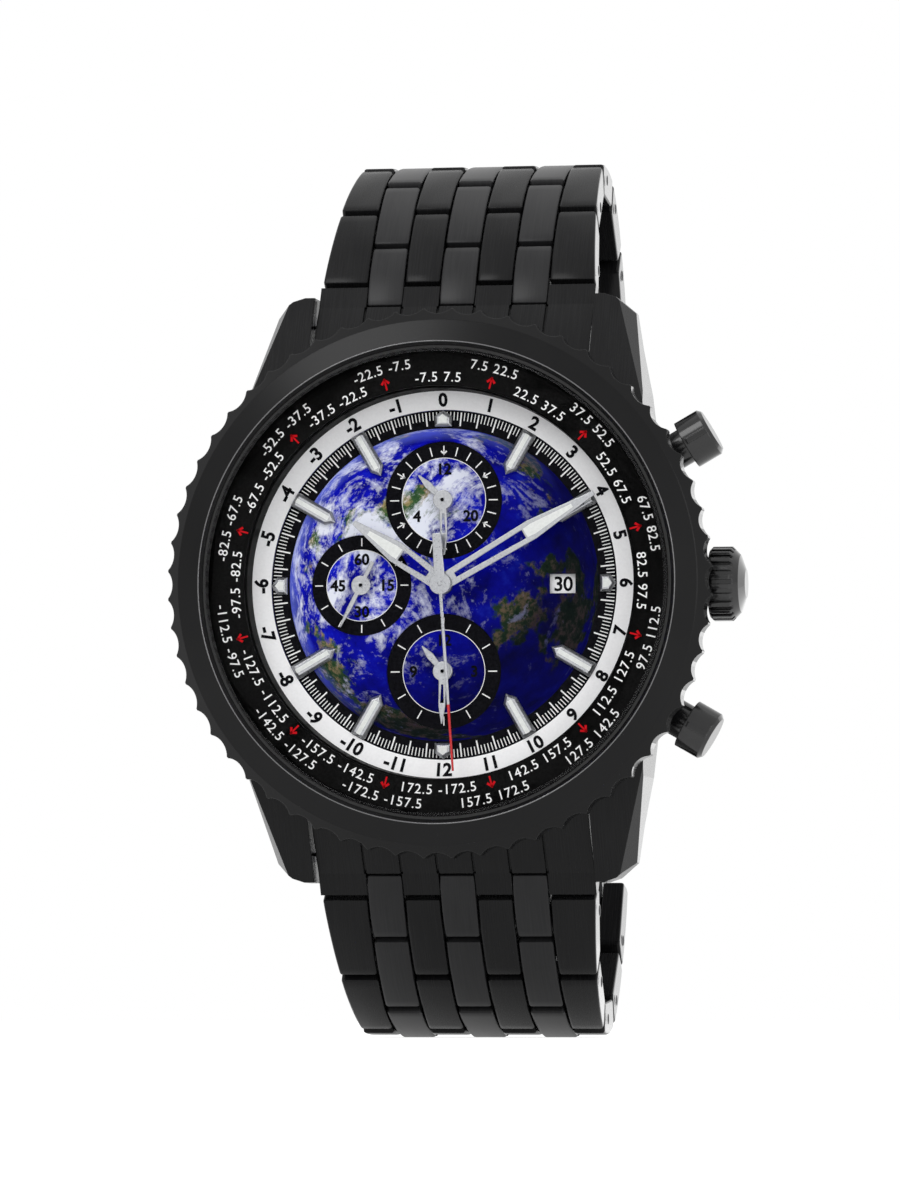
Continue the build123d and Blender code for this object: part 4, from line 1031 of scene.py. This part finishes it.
# Studio
def seen_rays(tree):
    """1 for rays that show the surroundings, 0 for those that only light the object."""
    rays = add(tree, "ShaderNodeLightPath")
    seen = math_node(tree, "MAXIMUM", rays.outputs["Is Camera Ray"], rays.outputs["Is Glossy Ray"])
    return math_node(tree, "MAXIMUM", seen, rays.outputs["Is Transmission Ray"])


def studio():
    """White surroundings, a pale floor under the bracelet and three soft lamps."""
    scene = bpy.context.scene
    scene.view_settings.view_transform = "Standard"
    world = bpy.data.worlds.new("studio")
    scene.world = world
    world.use_nodes = True
    tree = world.node_tree
    tree.nodes.clear()
    strength = range_of(tree, seen_rays(tree), WORLD_LIGHT, 1.0)
    background = add(tree, "ShaderNodeBackground", {"Color": (*WHITE, 1), "Strength": strength})
    output = add(tree, "ShaderNodeOutputWorld")
    tree.links.new(background.outputs[0], output.inputs["Surface"])
    floor()
    for name, settings in LAMPS.items():
        lamp(name, *settings)


def floor_material():
    """Pale, and glowing just enough that the camera sees it as white outside the shadow."""
    material = bpy.data.materials.new("floor")
    material.use_nodes = True
    tree = material.node_tree
    tree.nodes.clear()
    glow = math_node(tree, "MULTIPLY", seen_rays(tree), FLOOR_GLOW)
    lit = add(tree, "ShaderNodeBsdfDiffuse", {"Color": FLOOR_TONE})
    shine = add(tree, "ShaderNodeEmission", {"Color": (*WHITE, 1), "Strength": glow})
    both = add(tree, "ShaderNodeAddShader", {0: lit.outputs[0], 1: shine.outputs[0]})
    output = add(tree, "ShaderNodeOutputMaterial")
    tree.links.new(both.outputs[0], output.inputs["Surface"])
    return material


def floor():
    """A square floor at the watch's lowest point."""
    low = cad_box[0][2]
    reach = FLOOR_REACH
    corners = [(-reach, -reach, low), (reach, -reach, low), (reach, reach, low), (-reach, reach, low)]
    new_piece("floor", corners, [(0, 1, 2, 3)], [floor_material()])


def lamp(name, place, size, power):
    """A round soft lamp that faces the middle of the scene."""
    light = bpy.data.lights.new(name, "AREA")
    light.shape = "DISK"
    light.size = size
    light.energy = power
    holder = bpy.data.objects.new(name, light)
    holder.location = place
    holder.rotation_euler = (-Vector(place)).to_track_quat("-Z", "Y").to_euler()
    bpy.context.scene.collection.objects.link(holder)


def camera():
    """The photograph's view: the lens makes one millimetre at the dial as many pixels as it is there."""
    turn, rise = math.radians(CAMERA_AZIMUTH), math.radians(CAMERA_ELEVATION)
    away = Vector((math.sin(turn) * math.cos(rise), -math.cos(turn) * math.cos(rise), math.sin(rise)))
    data = bpy.data.cameras.new("camera")
    holder = bpy.data.objects.new("camera", data)
    holder.location = Vector(CAMERA_AIM) + away * CAMERA_DISTANCE
    holder.rotation_euler = (-away).to_track_quat("-Z", "Y").to_euler()
    frame_height = IMAGE_HEIGHT_PX / PHOTO_PX_PER_MM * MM
    data.sensor_width = SENSOR_SIZE
    data.lens = SENSOR_SIZE * CAMERA_DISTANCE / frame_height
    data.clip_start = CAMERA_CLIP
    bpy.context.scene.collection.objects.link(holder)
    bpy.context.scene.camera = holder


finishes = make_materials()
dress_nodes(finishes)
hour_ring(finishes)
bezel_bead(finishes)
minute_track(finishes)
sub_dials(finishes)
date_numbers(finishes)
hour_ring_numerals(finishes)
place_ring_print(finishes)
hand_fill("hour_hand_fill", "hour_hand", HOUR_LUME, finishes)
hand_fill("minute_hand_fill", "minute_hand", MINUTE_LUME, finishes)
hub_dots(finishes)
marker_fill(finishes)
red_hand_end()
pusher_springs(finishes)
crown_seal(finishes)
pin_holes(finishes)
studio()
camera()
